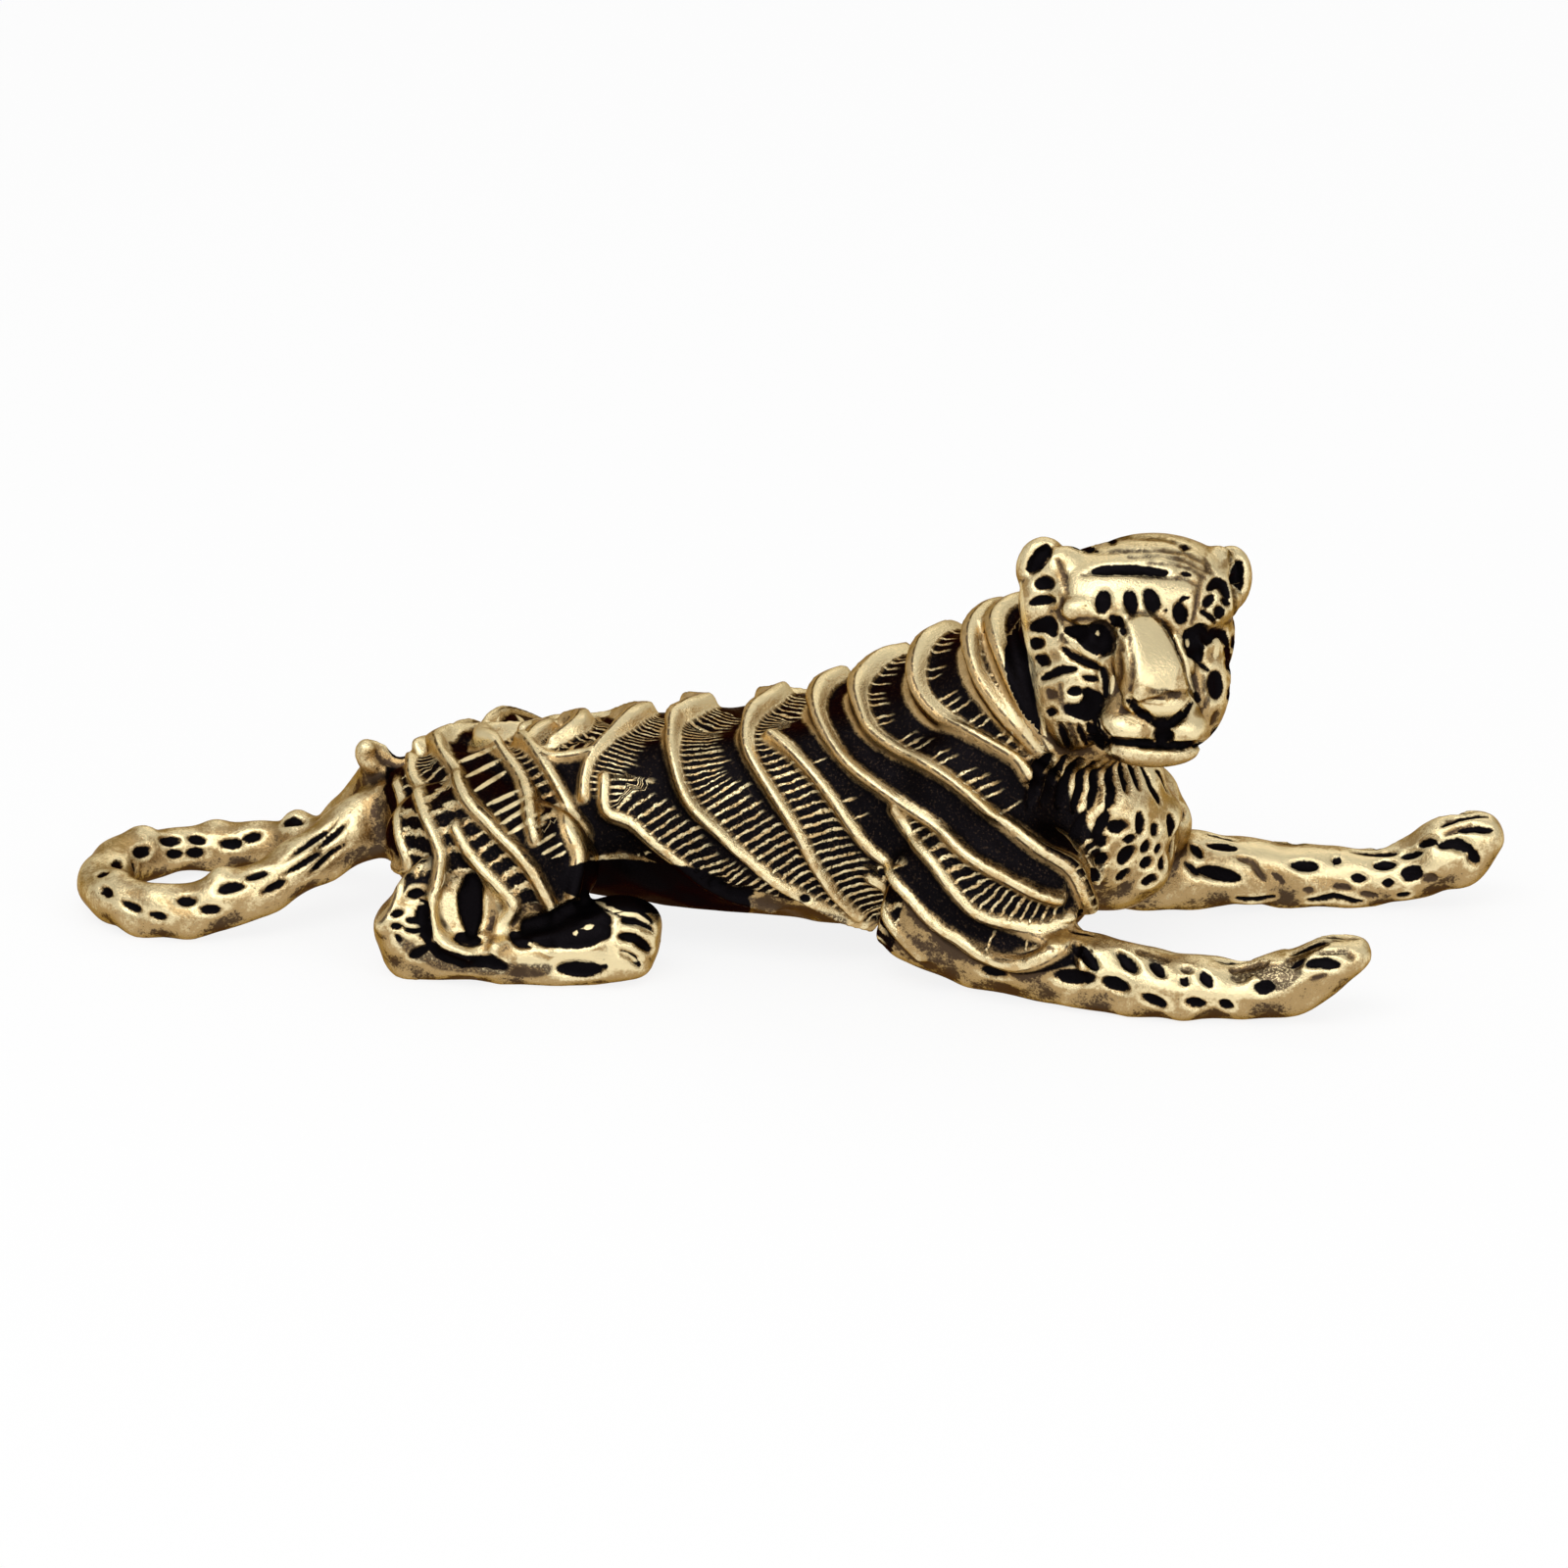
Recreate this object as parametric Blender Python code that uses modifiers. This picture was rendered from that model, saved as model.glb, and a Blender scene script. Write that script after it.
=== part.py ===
"""Cast brass figurine of a tiger lying with its head turned to its right.

The figure is one solid casting. +X runs from the tail to the head, +Y is the tiger's left
and +Z is up. The origin is on the floor, below the middle of the figure.
Lengths below are in millimetres and are scaled to metres where a mesh is made.
"""

import math

import bmesh
import bpy
import numpy as np
from mathutils import Matrix, Vector

MM = 0.001

# Clay: how finely the rough shape is fused and how much its joins are softened.
VOXEL = 0.40
BODY_SOFTENING = 8
FACE_SOFTENING = 2
RING_SIDES = 20
TRUNK_SIDES = 28
TRIANGLE_TARGET = 10800
FLOOR_BLOCK = 0.01
BRASS_COLOUR = (0.55, 0.37, 0.14, 1)

# Trunk: place and half sizes of the loft from the rump to the chest.
RUMP_X = -25.8
WAIST_X = -12.0
RIBS_X = 0.0
WITHERS_X = 10.0
CHEST_X = 25.5
RUMP_HEIGHT = 7.2
BACK_RADIUS = 6.2
BELLY_HALF_WIDTH = 7.4
SHOULDER_HALF_WIDTH = 8.6
TRUNK_HEIGHT = 8.4

# Neck and head.
NECK_RADIUS = 6.3
HEAD_CENTRE = Vector((22.3, -4.3, 20.4))
HEAD_TURN = math.radians(21)
HEAD_TILT = math.radians(4.5)
HEAD_HALF_WIDTH = 6.9
HEAD_HALF_LENGTH = 5.6
HEAD_HALF_HEIGHT = 6.0
MUZZLE_LENGTH = 8.0
NOSE_HALF_WIDTH = 2.1
EYE_SPACING = 2.9
EYE_RADIUS = 1.1
EAR_RADIUS = 2.0

# Hollows pressed into the face, as seen from the front of the head: how far to the right and up,
# half width, half height, lean in degrees and depth.
FACE_DENTS = (
    (-3.7, 2.5, 1.5, 0.8, -26, 0.7),
    (3.0, 2.4, 1.0, 0.9, 10, 0.7),
    (0.3, -2.6, 0.5, 0.9, 0, 0.8),
    (-1.6, -3.5, 1.9, 0.4, -8, 0.6),
    (2.2, -3.6, 1.7, 0.4, 8, 0.6),
    (-2.4, 0.9, 0.6, 1.8, 12, 0.4),
    (2.2, 0.9, 0.6, 1.8, 12, 0.4),
    (-4.2, -1.7, 0.9, 0.9, 0, 0.4),
    (-6.5, 6.0, 0.7, 1.0, 15, 0.8),
    (6.6, 5.4, 0.7, 1.1, -15, 0.8),
)

# Limbs.
FORELEG_RADIUS = 2.3
WRIST_RADIUS = 1.8
PAW_RADIUS = 2.4
NEAR_TRACK = (-8.2, -8.4, -8.9, -10.0, -11.6, -12.2, -12.0, -11.6, -11.4, -11.3, -11.3)
FAR_TRACK = (6.6, 6.6, 6.8, 7.2, 8.2, 9.2, 10.2, 10.6, 10.8, 11.0, 11.0)
FAR_FORELEG_REACH = 6.9
FAR_PAW_LIFT = 0.9
SHOULDER_PLACE = (13.0, 5.8, 10.6)
SHOULDER_SIZE = (5.6, 4.2, 6.2)
UPPER_ARM_X = 14.2
UPPER_ARM_HEIGHT = 6.4
UPPER_ARM_SIZE = (6.6, 3.8, 5.2)
ELBOW_X = 12.2
ELBOW_HEIGHT = 4.6
ELBOW_SIZE = (4.8, 3.0, 3.8)
THIGH_PLACE = (-18.6, 5.9, 6.7)
KNEE_PLACE = (-15.6, 7.6, 6.0)
THIGH_RADIUS = 5.4
HIND_FOOT_Y = 11.7
HEEL_RADIUS = 2.7
HEEL_X = -21.8

# Tail.
TAIL_ROOT_RADIUS = 2.4
TAIL_RADIUS = 1.75
TAIL_BUMP_RADIUS = 1.35
TAIL_BALL_RADIUS = 1.4

# Ridges of the coat. Each runs through places given as the distance along the body and the
# degrees down the tiger's right side from the top of its back, about a line at this height.
# The first number of each ridge is how high it stands. The left side carries the same ridges,
# and those that cross the back meet there at their first place.
AXIS_HEIGHT = 9.0
RIDGE_RISE = 1.1
RIDGE_CREST = 0.3
CREST_SPREAD = 0.25
RIDGE_REAR_SLOPE = 0.7
RIDGE_FRONT_SLOPE = 1.8
VALLEY_DEPTH = 0.4
SPINE_VALLEY_DEPTH = 0.7
BACK_TOP = 20
BACK_EDGE = 28
RIDGES = (
    (0.7, (-15.6, -20), (-16.2, 10), (-16.1, 28), (-15.4, 42), (-14.3, 50), (-11.8, 47)),
    (0.9, (-13.3, -20), (-13.2, 0), (-13.5, 14), (-14.6, 32)),
    (0.8, (-9.2, -20), (-9.9, 6), (-10.6, 24), (-11.6, 47), (-12, 62), (-12, 78)),
    (0.6, (-10.8, 65), (-10.5, 85), (-8.8, 91), (-7.4, 100), (-5.5, 112), (-3.3, 128), (0, 140)),
    (
        1.0, (-5.3, -20), (-6.2, 2), (-6.9, 14), (-6.8, 31), (-6.4, 52), (-5.2, 76), (-2.8, 93),
        (1, 116), (6.3, 144),
    ),
    (
        0.9, (-0.5, -20), (-1.1, 0), (-1.8, 13), (-2, 32), (-1.5, 50), (0.2, 70), (1.8, 86),
        (3.4, 108), (5.6, 135),
    ),
    (
        0.8, (-0.3, 38), (2.4, 58), (4, 71), (6.8, 95), (9, 102), (11, 109), (13.7, 115),
        (16.5, 115), (19.5, 109),
    ),
    (
        0.9, (3.3, -20), (2.3, 0), (2.2, 16), (3, 36), (5, 56), (8.3, 71), (10.8, 79),
        (12.8, 87), (15.2, 93), (18.8, 102),
    ),
    (0.7, (8.1, 75), (9.2, 85), (10.8, 91), (13.3, 103), (16, 108), (19.2, 109)),
    (
        1.0, (7.3, -20), (5.4, 0), (4.9, 13), (5.4, 30), (7, 46), (12, 64), (14.6, 75),
        (17.2, 85), (19.5, 94), (20.7, 112),
    ),
    (0.9, (10.7, -20), (9.2, 0), (8.7, 13), (9, 26), (10.4, 37), (13, 47), (15.6, 54), (16.6, 61)),
    (0.8, (14.7, -20), (13.2, 0), (12.2, 14), (12.8, 28), (14.4, 39), (16.4, 48), (17.4, 53)),
    (0.7, (16.1, -20), (14.6, 0), (13.6, 12), (14.2, 24), (15.6, 37), (17.6, 49), (18.2, 54)),
    (0.6, (-24.6, 80), (-23.7, 94), (-22.8, 103), (-22.9, 107), (-23.9, 112)),
    (
        0.8, (-24, 35), (-23.5, 68), (-22.2, 82), (-20.8, 92), (-20.2, 100), (-20.6, 108),
        (-19.8, 114), (-17.8, 116),
    ),
    (0.7, (-19.5, 89), (-18.4, 97), (-16.7, 103), (-15.5, 109), (-16.4, 114)),
    (
        0.9, (-22.4, -20), (-22.6, 0), (-22.2, 24), (-21.4, 50), (-19.6, 75), (-17.6, 86),
        (-15.4, 94), (-14.3, 100), (-13.2, 111),
    ),
    (0.8, (-19.6, -20), (-19.4, 4), (-18.6, 18), (-17.6, 45), (-16.2, 67), (-15, 82), (-14.4, 90)),
    (0.8, (-16.9, 14), (-15.5, 45), (-14, 68), (-12.6, 87), (-11.7, 98), (-12, 109)),
    (0.6, (6.6, 110), (8.2, 115), (10.1, 121)),
)


def smooth_rows(rows, steps):
    """Rows of numbers, with a smooth run of in-between rows through them (Catmull-Rom)."""
    rows = np.array(rows, float)
    padded = np.vstack([2 * rows[0] - rows[1], rows, 2 * rows[-1] - rows[-2]])
    found = []
    for i in range(len(rows) - 1):
        a, b, c, d = padded[i : i + 4]
        for k in range(steps):
            t = k / steps
            cube = (3 * b - a - 3 * c + d) * t**3
            found.append(0.5 * (2 * b + (c - a) * t + (2 * a - 5 * b + 4 * c - d) * t**2 + cube))
    found.append(rows[-1])
    return np.array(found)


def add_loft(clay, stations, steps=4, sides=RING_SIDES, square=1.0):
    """A closed tube through stations of x, y, z, half width and half height.

    Its section is an oval, and a squarer one where square is below 1.
    """
    rows = smooth_rows(stations, steps)
    centres = rows[:, :3]
    tangents = np.gradient(centres, axis=0)
    rings = []
    for centre, tangent, (half_width, half_height) in zip(centres, tangents, rows[:, 3:5]):
        along = Vector(tangent).normalized()
        side = along.cross(Vector((0, 0, 1))).normalized()
        over = side.cross(along)
        ring = []
        for k in range(sides):
            angle = math.tau * k / sides
            right = math.copysign(abs(math.cos(angle)) ** square, math.cos(angle))
            high = math.copysign(abs(math.sin(angle)) ** square, math.sin(angle))
            point = Vector(centre) + side * (half_width * right) + over * (half_height * high)
            ring.append(clay.verts.new(point * MM))
        rings.append(ring)
    for first, second in zip(rings, rings[1:]):
        for k in range(sides):
            following = (k + 1) % sides
            clay.faces.new((first[k], first[following], second[following], second[k]))
    clay.faces.new(list(reversed(rings[0])))
    clay.faces.new(rings[-1])


def add_blob(clay, centre, radii, turn=None):
    """An ellipsoid with its own axes turned by a 3 x 3 matrix."""
    turn = turn or Matrix.Identity(3)
    poles = []
    for end in (-1, 1):
        pole = Vector(centre) + turn @ Vector((0, 0, end * radii[2]))
        poles.append(clay.verts.new(pole * MM))
    rings = []
    for j in range(1, 12):
        rise = math.pi * (j / 12 - 0.5)
        level = math.cos(rise)
        ring = []
        for k in range(RING_SIDES):
            around = math.tau * k / RING_SIDES
            point = Vector((level * math.cos(around), level * math.sin(around), math.sin(rise)))
            ring.append(clay.verts.new((Vector(centre) + turn @ (point * Vector(radii))) * MM))
        rings.append(ring)
    for k in range(RING_SIDES):
        following = (k + 1) % RING_SIDES
        clay.faces.new((poles[0], rings[0][following], rings[0][k]))
        clay.faces.new((poles[1], rings[-1][k], rings[-1][following]))
        for first, second in zip(rings, rings[1:]):
            clay.faces.new((first[k], first[following], second[following], second[k]))


def fused(name, clay, voxel, softening, collection):
    """One closed object from overlapping clay shapes: a voxel remesh, then a soft smooth."""
    mesh = bpy.data.meshes.new(name)
    bmesh.ops.recalc_face_normals(clay, faces=clay.faces)
    clay.to_mesh(mesh)
    clay.free()
    obj = bpy.data.objects.new(name, mesh)
    collection.objects.link(obj)
    remesh = obj.modifiers.new("Fuse", "REMESH")
    remesh.mode = "VOXEL"
    remesh.voxel_size = voxel * MM
    smooth = obj.modifiers.new("Soften", "SMOOTH")
    smooth.factor = 0.5
    smooth.iterations = softening
    return obj


def baked_mesh(obj):
    """The object's mesh with its modifiers applied; the object itself is removed."""
    bpy.context.view_layer.update()
    graph = bpy.context.evaluated_depsgraph_get()
    mesh = bpy.data.meshes.new_from_object(obj.evaluated_get(graph))
    bpy.data.objects.remove(obj)
    return mesh


def ease(value):
    """0 below 0, 1 above 1 and a soft curve between."""
    value = np.clip(value, 0, 1)
    return value * value * (3 - 2 * value)


def ridge_height(points, normals):
    """How far, in millimetres, each point of the coat is raised by the ridges near it."""
    along = points[:, 0]
    right = -points[:, 1]
    over = points[:, 2] - AXIS_HEIGHT
    reach = np.hypot(right, over)
    facing = ease(((over * normals[:, 2] - right * normals[:, 1]) / reach + 0.1) * 2)
    height = np.zeros(len(points))
    coat = np.zeros(len(points))
    for side in (1, -1):
        down = np.degrees(np.arctan2(side * right, over))
        for rise, *course in RIDGES:
            if side < 0 and course[0][1] < 0:
                course = [(course[0][0], BACK_TOP)] + [place for place in course if place[1] > BACK_EDGE]
            path = smooth_rows(course, 4)
            near = np.flatnonzero(
                (along > path[:, 0].min() - 4)
                & (along < path[:, 0].max() + 4)
                & (down > path[:, 1].min() - 50)
                & (down < path[:, 1].max() + 50)
            )
            closest = np.full(len(near), 1e3)
            ahead = np.zeros(len(near))
            for start, end in zip(path, path[1:]):
                from_x = along[near] - start[0]
                from_down = np.radians(down[near] - start[1]) * reach[near]
                step_x = end[0] - start[0]
                step_down = math.radians(end[1] - start[1]) * reach[near]
                share = (from_x * step_x + from_down * step_down) / (step_x**2 + step_down**2)
                share = np.clip(share, 0, 1)
                away = np.hypot(from_x - share * step_x, from_down - share * step_down)
                nearer = away < closest
                closest = np.where(nearer, away, closest)
                ahead = np.where(nearer, from_x * step_down - from_down * step_x, ahead)
            broad = CREST_SPREAD * (1 - ease((down[near] - 6) / 26))
            beyond = closest - RIDGE_CREST - broad
            front = 1 - 0.75 * ease(beyond / RIDGE_REAR_SLOPE)
            front -= 0.25 * ease((beyond - 0.5) / RIDGE_FRONT_SLOPE)
            rear = 1 - ease(beyond / RIDGE_REAR_SLOPE)
            height[near] = np.maximum(height[near], rise * np.where(ahead > 0, front, rear))
            coat[near] = np.maximum(coat[near], 1 - ease((closest - 2.5) / 2))
    down = np.degrees(np.arctan2(np.abs(right), over))
    spine = (1 - ease((down - 14) / 26)) * (1 - ease(height / 0.6))
    valley = VALLEY_DEPTH + SPINE_VALLEY_DEPTH * spine
    return (height * RIDGE_RISE - valley * coat) * facing


def mesh_arrays(mesh):
    """The vertices in millimetres and their normals."""
    count = len(mesh.vertices)
    points = np.empty(count * 3)
    normals = np.empty(count * 3)
    mesh.vertices.foreach_get("co", points)
    mesh.vertices.foreach_get("normal", normals)
    return points.reshape(-1, 3) / MM, normals.reshape(-1, 3)


def raise_ridges(mesh):
    """Push the vertices of the coat out along their normals to form the ridges."""
    points, normals = mesh_arrays(mesh)
    points += normals * ridge_height(points, normals)[:, None]
    mesh.vertices.foreach_set("co", (points * MM).ravel())
    mesh.update()


def head_frame():
    """The head's own axes: to its left as seen from the front, out of its back, and up."""
    return Matrix.Rotation(HEAD_TURN, 3, "Z") @ Matrix.Rotation(HEAD_TILT, 3, "Y")


def press_face(mesh):
    """Push the eyes, the mouth and the ear hollows into the front of the head."""
    points, normals = mesh_arrays(mesh)
    turn = np.array(head_frame())
    local = (points - np.array(HEAD_CENTRE)) @ turn
    facing = ease((-(normals @ turn)[:, 1] - 0.05) * 3)
    close = (np.abs(local[:, 0]) < 9) & (np.abs(local[:, 2]) < 9) & (np.abs(local[:, 1]) < 10)
    depth = np.zeros(len(points))
    for right, up, half_width, half_height, lean, dent in FACE_DENTS:
        angle = math.radians(lean)
        across = local[:, 0] - right
        over = local[:, 2] - up
        along = (across * math.cos(angle) + over * math.sin(angle)) / half_width
        beside = (over * math.cos(angle) - across * math.sin(angle)) / half_height
        depth = np.maximum(depth, dent * (1 - ease((np.hypot(along, beside) - 0.5) / 0.9)))
    points -= normals * (depth * facing * close)[:, None]
    mesh.vertices.foreach_set("co", (points * MM).ravel())
    mesh.update()


def trunk_clay(clay):
    """The loft from rump to chest, and the neck that rises from it into the head."""
    add_loft(
        clay,
        [
            (RUMP_X, 0, RUMP_HEIGHT - 1.0, 2.6, 2.8),
            (RUMP_X + 1.4, 0, RUMP_HEIGHT - 0.8, 4.8, 3.8),
            (RUMP_X + 4.3, 0, RUMP_HEIGHT - 0.2, 6.4, 4.8),
            (RUMP_X + 9.0, 0, TRUNK_HEIGHT - 1.0, 6.8, BACK_RADIUS - 1.3),
            (WAIST_X, 0, TRUNK_HEIGHT - 0.6, BELLY_HALF_WIDTH - 0.8, BACK_RADIUS - 0.5),
            (WAIST_X + 5, 0, TRUNK_HEIGHT - 0.4, BELLY_HALF_WIDTH - 0.3, BACK_RADIUS + 0.2),
            (RIBS_X, 0, TRUNK_HEIGHT - 0.1, BELLY_HALF_WIDTH + 0.4, BACK_RADIUS + 1.0),
            (RIBS_X + 5, 0, TRUNK_HEIGHT + 0.5, SHOULDER_HALF_WIDTH - 0.4, BACK_RADIUS + 2.0),
            (WITHERS_X, 0, TRUNK_HEIGHT + 1.2, SHOULDER_HALF_WIDTH - 0.1, BACK_RADIUS + 2.8),
            (WITHERS_X + 5, 0, TRUNK_HEIGHT + 1.0, SHOULDER_HALF_WIDTH - 0.5, BACK_RADIUS + 1.8),
            (CHEST_X - 6, 0, TRUNK_HEIGHT, SHOULDER_HALF_WIDTH - 1.6, BACK_RADIUS + 0.4),
            (CHEST_X - 3.0, 0, TRUNK_HEIGHT - 1.4, 5.6, 4.8),
            (CHEST_X - 0.6, 0, TRUNK_HEIGHT - 2.0, 2.8, 2.8),
        ],
        sides=TRUNK_SIDES,
    )
    head_x, head_y, head_z = HEAD_CENTRE
    add_loft(
        clay,
        [
            (WITHERS_X - 3, 0, TRUNK_HEIGHT + 3.4, NECK_RADIUS, NECK_RADIUS - 0.4),
            (WITHERS_X + 2, -0.4, TRUNK_HEIGHT + 5.8, NECK_RADIUS, NECK_RADIUS + 0.1),
            (WITHERS_X + 6, -1.4, head_z - 3.6, NECK_RADIUS, NECK_RADIUS),
            (head_x - 3, head_y + 1.6, head_z - 1.8, NECK_RADIUS - 0.5, NECK_RADIUS - 0.4),
            (head_x - 0.5, head_y + 0.8, head_z - 1, NECK_RADIUS - 1.3, NECK_RADIUS - 1.2),
        ],
        sides=TRUNK_SIDES,
    )


def foreleg_path(track, reach, lift):
    """Stations of the lower front leg along a sideways track, from the elbow to the tip of the paw."""
    r = FORELEG_RADIUS
    wrist = WRIST_RADIUS
    rows = [
        (7.5 + reach, 3.9, r - 1.1, r - 0.9),
        (8.4 + reach, 3.6, r - 0.3, r - 0.05),
        (11.6 + reach, 2.9, r + 0.2, r + 0.3),
        (16.0 + reach, 2.6, r + 0.4, r + 0.3),
        (20.5 + reach, 2.3, r + 0.2, r + 0.1),
        (25.5 + reach, 1.9, wrist + 0.5, wrist + 0.25),
        (29.8 + reach, 1.65, wrist + 0.4, wrist),
        (32.8 + reach, 2.1 + 0.2 * lift, PAW_RADIUS - 0.1, PAW_RADIUS - 0.45),
        (35.0 + reach, 3.1 + 0.3 * lift, PAW_RADIUS, PAW_RADIUS - 0.6 + 0.7 * lift),
        (37.0 + reach, 4.0 + 0.55 * lift, PAW_RADIUS - 0.4, PAW_RADIUS - 1.1 + 0.65 * lift),
        (38.1 + reach, 4.6 + 0.5 * lift, 1.0, 0.6 + 0.45 * lift),
    ]
    return [(x, y, z, wide, high) for (x, z, wide, high), y in zip(rows, track)]


def foreleg_clay(clay, track, reach, lift):
    """Shoulder, upper arm and lower leg of one front leg."""
    out = math.copysign(1, track[0])
    x, y, z = SHOULDER_PLACE
    add_blob(clay, (x + 0.35 * reach, y * out, z), SHOULDER_SIZE)
    upper_arm = (UPPER_ARM_X + 0.7 * reach, track[3] - 1.7 * out, UPPER_ARM_HEIGHT)
    add_blob(clay, upper_arm, UPPER_ARM_SIZE)
    elbow = (ELBOW_X + 0.9 * reach, track[2] - 0.2 * out, ELBOW_HEIGHT)
    add_blob(clay, elbow, ELBOW_SIZE)
    add_loft(clay, foreleg_path(track, reach, lift), square=0.9)


def hind_leg_clay(clay, out):
    """Thigh, shank, heel and foot of a hind leg; out is -1 for the tiger's right, +1 for its left."""
    foot_y = HIND_FOOT_Y * out
    x, y, z = THIGH_PLACE
    add_blob(clay, (x, y * out, z), (THIGH_RADIUS + 0.8, 5.0, THIGH_RADIUS - 0.8))
    x, y, z = KNEE_PLACE
    add_blob(clay, (x, y * out, z), (THIGH_RADIUS - 0.6, 4.2, THIGH_RADIUS - 1.0))
    add_loft(
        clay,
        [
            (-11.9, foot_y - 2.6 * out, 4.9, 1.6, 2.0),
            (-14.5, foot_y - 2.2 * out, 4.4, 2.2, 2.6),
            (-18.5, foot_y - 1.4 * out, 4.0, 2.4, 2.8),
            (HEEL_X, foot_y - 1.2 * out, 4.2, HEEL_RADIUS, HEEL_RADIUS + 0.8),
            (HEEL_X - 1.2, foot_y - 1.6 * out, 4.6, 1.6, 2.2),
        ],
    )
    add_blob(clay, (HEEL_X, foot_y, 2.6), (HEEL_RADIUS + 0.1, HEEL_RADIUS, HEEL_RADIUS + 0.3))
    add_loft(
        clay,
        [
            (HEEL_X - 1, foot_y, 1.9, HEEL_RADIUS - 0.5, HEEL_RADIUS - 0.8),
            (-18.0, foot_y, 1.6, 2.7, 1.9),
            (-14.0, foot_y - 0.3 * out, 1.7, 2.5, 2.0),
            (-11.2, foot_y - 0.8 * out, 2.1, 2.8, 2.4),
            (-9.0, foot_y - 1.2 * out, 2.6, 2.8, 2.6),
            (-7.2, foot_y - 1.4 * out, 2.6, 2.3, 2.2),
            (-6.4, foot_y - 1.4 * out, 2.6, 1.3, 1.3),
        ],
        square=0.8,
    )


def tail_path():
    """Stations of the tail: out of the rump, down to the floor, round a loop and back up to the rump."""
    root = TAIL_ROOT_RADIUS
    r = TAIL_RADIUS
    return [
        (RUMP_X + 2.0, 0.0, 6.6, root, root + 0.4),
        (RUMP_X - 1.2, -0.6, 5.8, root - 0.2, root - 0.1),
        (-29.6, -2.4, 4.5, r + 0.15, r + 0.05),
        (-33.0, -5.0, 2.9, r + 0.1, r + 0.1),
        (-37.2, -6.9, 1.8, r + 0.05, r + 0.05),
        (-41.0, -6.5, 1.6, r, r),
        (-43.5, -3.6, 1.6, r, r),
        (-43.9, 0.4, 1.6, r, r),
        (-42.0, 3.8, 1.6, r - 0.1, r - 0.1),
        (-38.2, 5.4, 1.7, r - 0.15, r - 0.15),
        (-33.8, 5.4, 2.0, r - 0.15, r - 0.15),
        (-30.4, 4.2, 3.4, r - 0.2, r - 0.2),
        (-28.2, 2.8, 6.0, r - 0.35, r - 0.35),
        (RUMP_X - 1.0, 1.4, 9.0, r - 0.6, r - 0.6),
    ]


def tail_clay(clay):
    """The tail with the lumps along its top and the ball at its tip."""
    path = smooth_rows(tail_path(), 10)
    add_loft(clay, tail_path(), steps=5, sides=16)
    for share in (0.27, 0.42, 0.60, 0.69, 0.79):
        x, y, z, half_width, half_height = path[round(share * (len(path) - 1))]
        add_blob(clay, (x, y, z + half_height * 0.5), [TAIL_BUMP_RADIUS] * 3)
    x, y, z = path[-1][:3]
    add_blob(clay, (x + 0.1, y - 0.6, z + 1.2), [TAIL_BALL_RADIUS] * 3)


def head_clay(clay):
    """Skull, cheeks, muzzle, jaw, nose and ears, built facing forward and turned to the side."""
    turn = head_frame()
    width, length, height = HEAD_HALF_WIDTH, HEAD_HALF_LENGTH, HEAD_HALF_HEIGHT
    reach = MUZZLE_LENGTH

    def blob(right, front, up, radii):
        centre = HEAD_CENTRE + turn @ Vector((right, -front, up))
        add_blob(clay, centre, radii, turn)

    blob(0, -0.8, 1.4, (width, length, height))
    blob(0.3, 0.7, 4.6, (width - 0.5, length - 1.4, height - 2.9))
    blob(1.2, 0.4, 5.0, (width - 1.7, length - 1.6, height - 2.75))
    blob(0, 2.6, -3.0, (3.6, 3.4, 2.2))
    blob(0.2, reach - 3.8, -1.6, (3.3, 3.2, 2.8))
    blob(0.4, reach - 2.6, -4.0, (3.1, 1.9, 1.1))
    bridge = [
        (-1.4, 3.6, 4.3, NOSE_HALF_WIDTH - 0.9, 1.1),
        (-1.1, reach - 2.6, 3.0, NOSE_HALF_WIDTH - 0.4, 1.5),
        (-0.6, reach - 1.1, 1.3, NOSE_HALF_WIDTH - 0.1, 1.6),
        (-0.2, reach - 0.3, 0.0, NOSE_HALF_WIDTH, 1.1),
    ]
    rows = []
    for right, front, up, half_width, half_height in bridge:
        centre = HEAD_CENTRE + turn @ Vector((right, -front, up))
        rows.append((*centre, half_width, half_height))
    add_loft(clay, rows, square=0.55)
    blob(-0.1, reach - 0.9, -0.4, (NOSE_HALF_WIDTH + 0.2, 1.2, 1.0))
    for side in (-1, 1):
        blob(3.5 * side, 0.2, -1.2, (3.0, 4.4, 4.4))
        blob(0.2 + 1.75 * side, reach - 2.3, -2.35, (1.75, 1.9, 1.2))
        blob(3.0 * side - 0.3, 3.3, 4.3, (2.4, 1.2, 1.1))
        blob(1.9 * side - 0.2, 4.2, 0.9, (1.3, 1.5, 2.3))
        blob((EYE_SPACING + 0.3) * side - 0.2, 3.3, 2.3, [EYE_RADIUS] * 3)
    ear = EAR_RADIUS
    blob(-width + 1.1, -1.0, 5.7, (ear - 0.3, ear - 0.7, ear))
    blob(-width + 2.2, 0.3, 5.8, (ear - 0.2, ear - 0.6, ear - 0.3))
    blob(-width + 1.3, -0.3, 3.8, (ear - 0.3, ear - 0.2, ear + 0.5))
    blob(width - 0.6, -0.8, 5.1, (ear - 0.5, ear - 0.7, ear + 0.2))
    blob(width - 1.9, 0.6, 6.6, [ear - 0.9] * 3)


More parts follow.
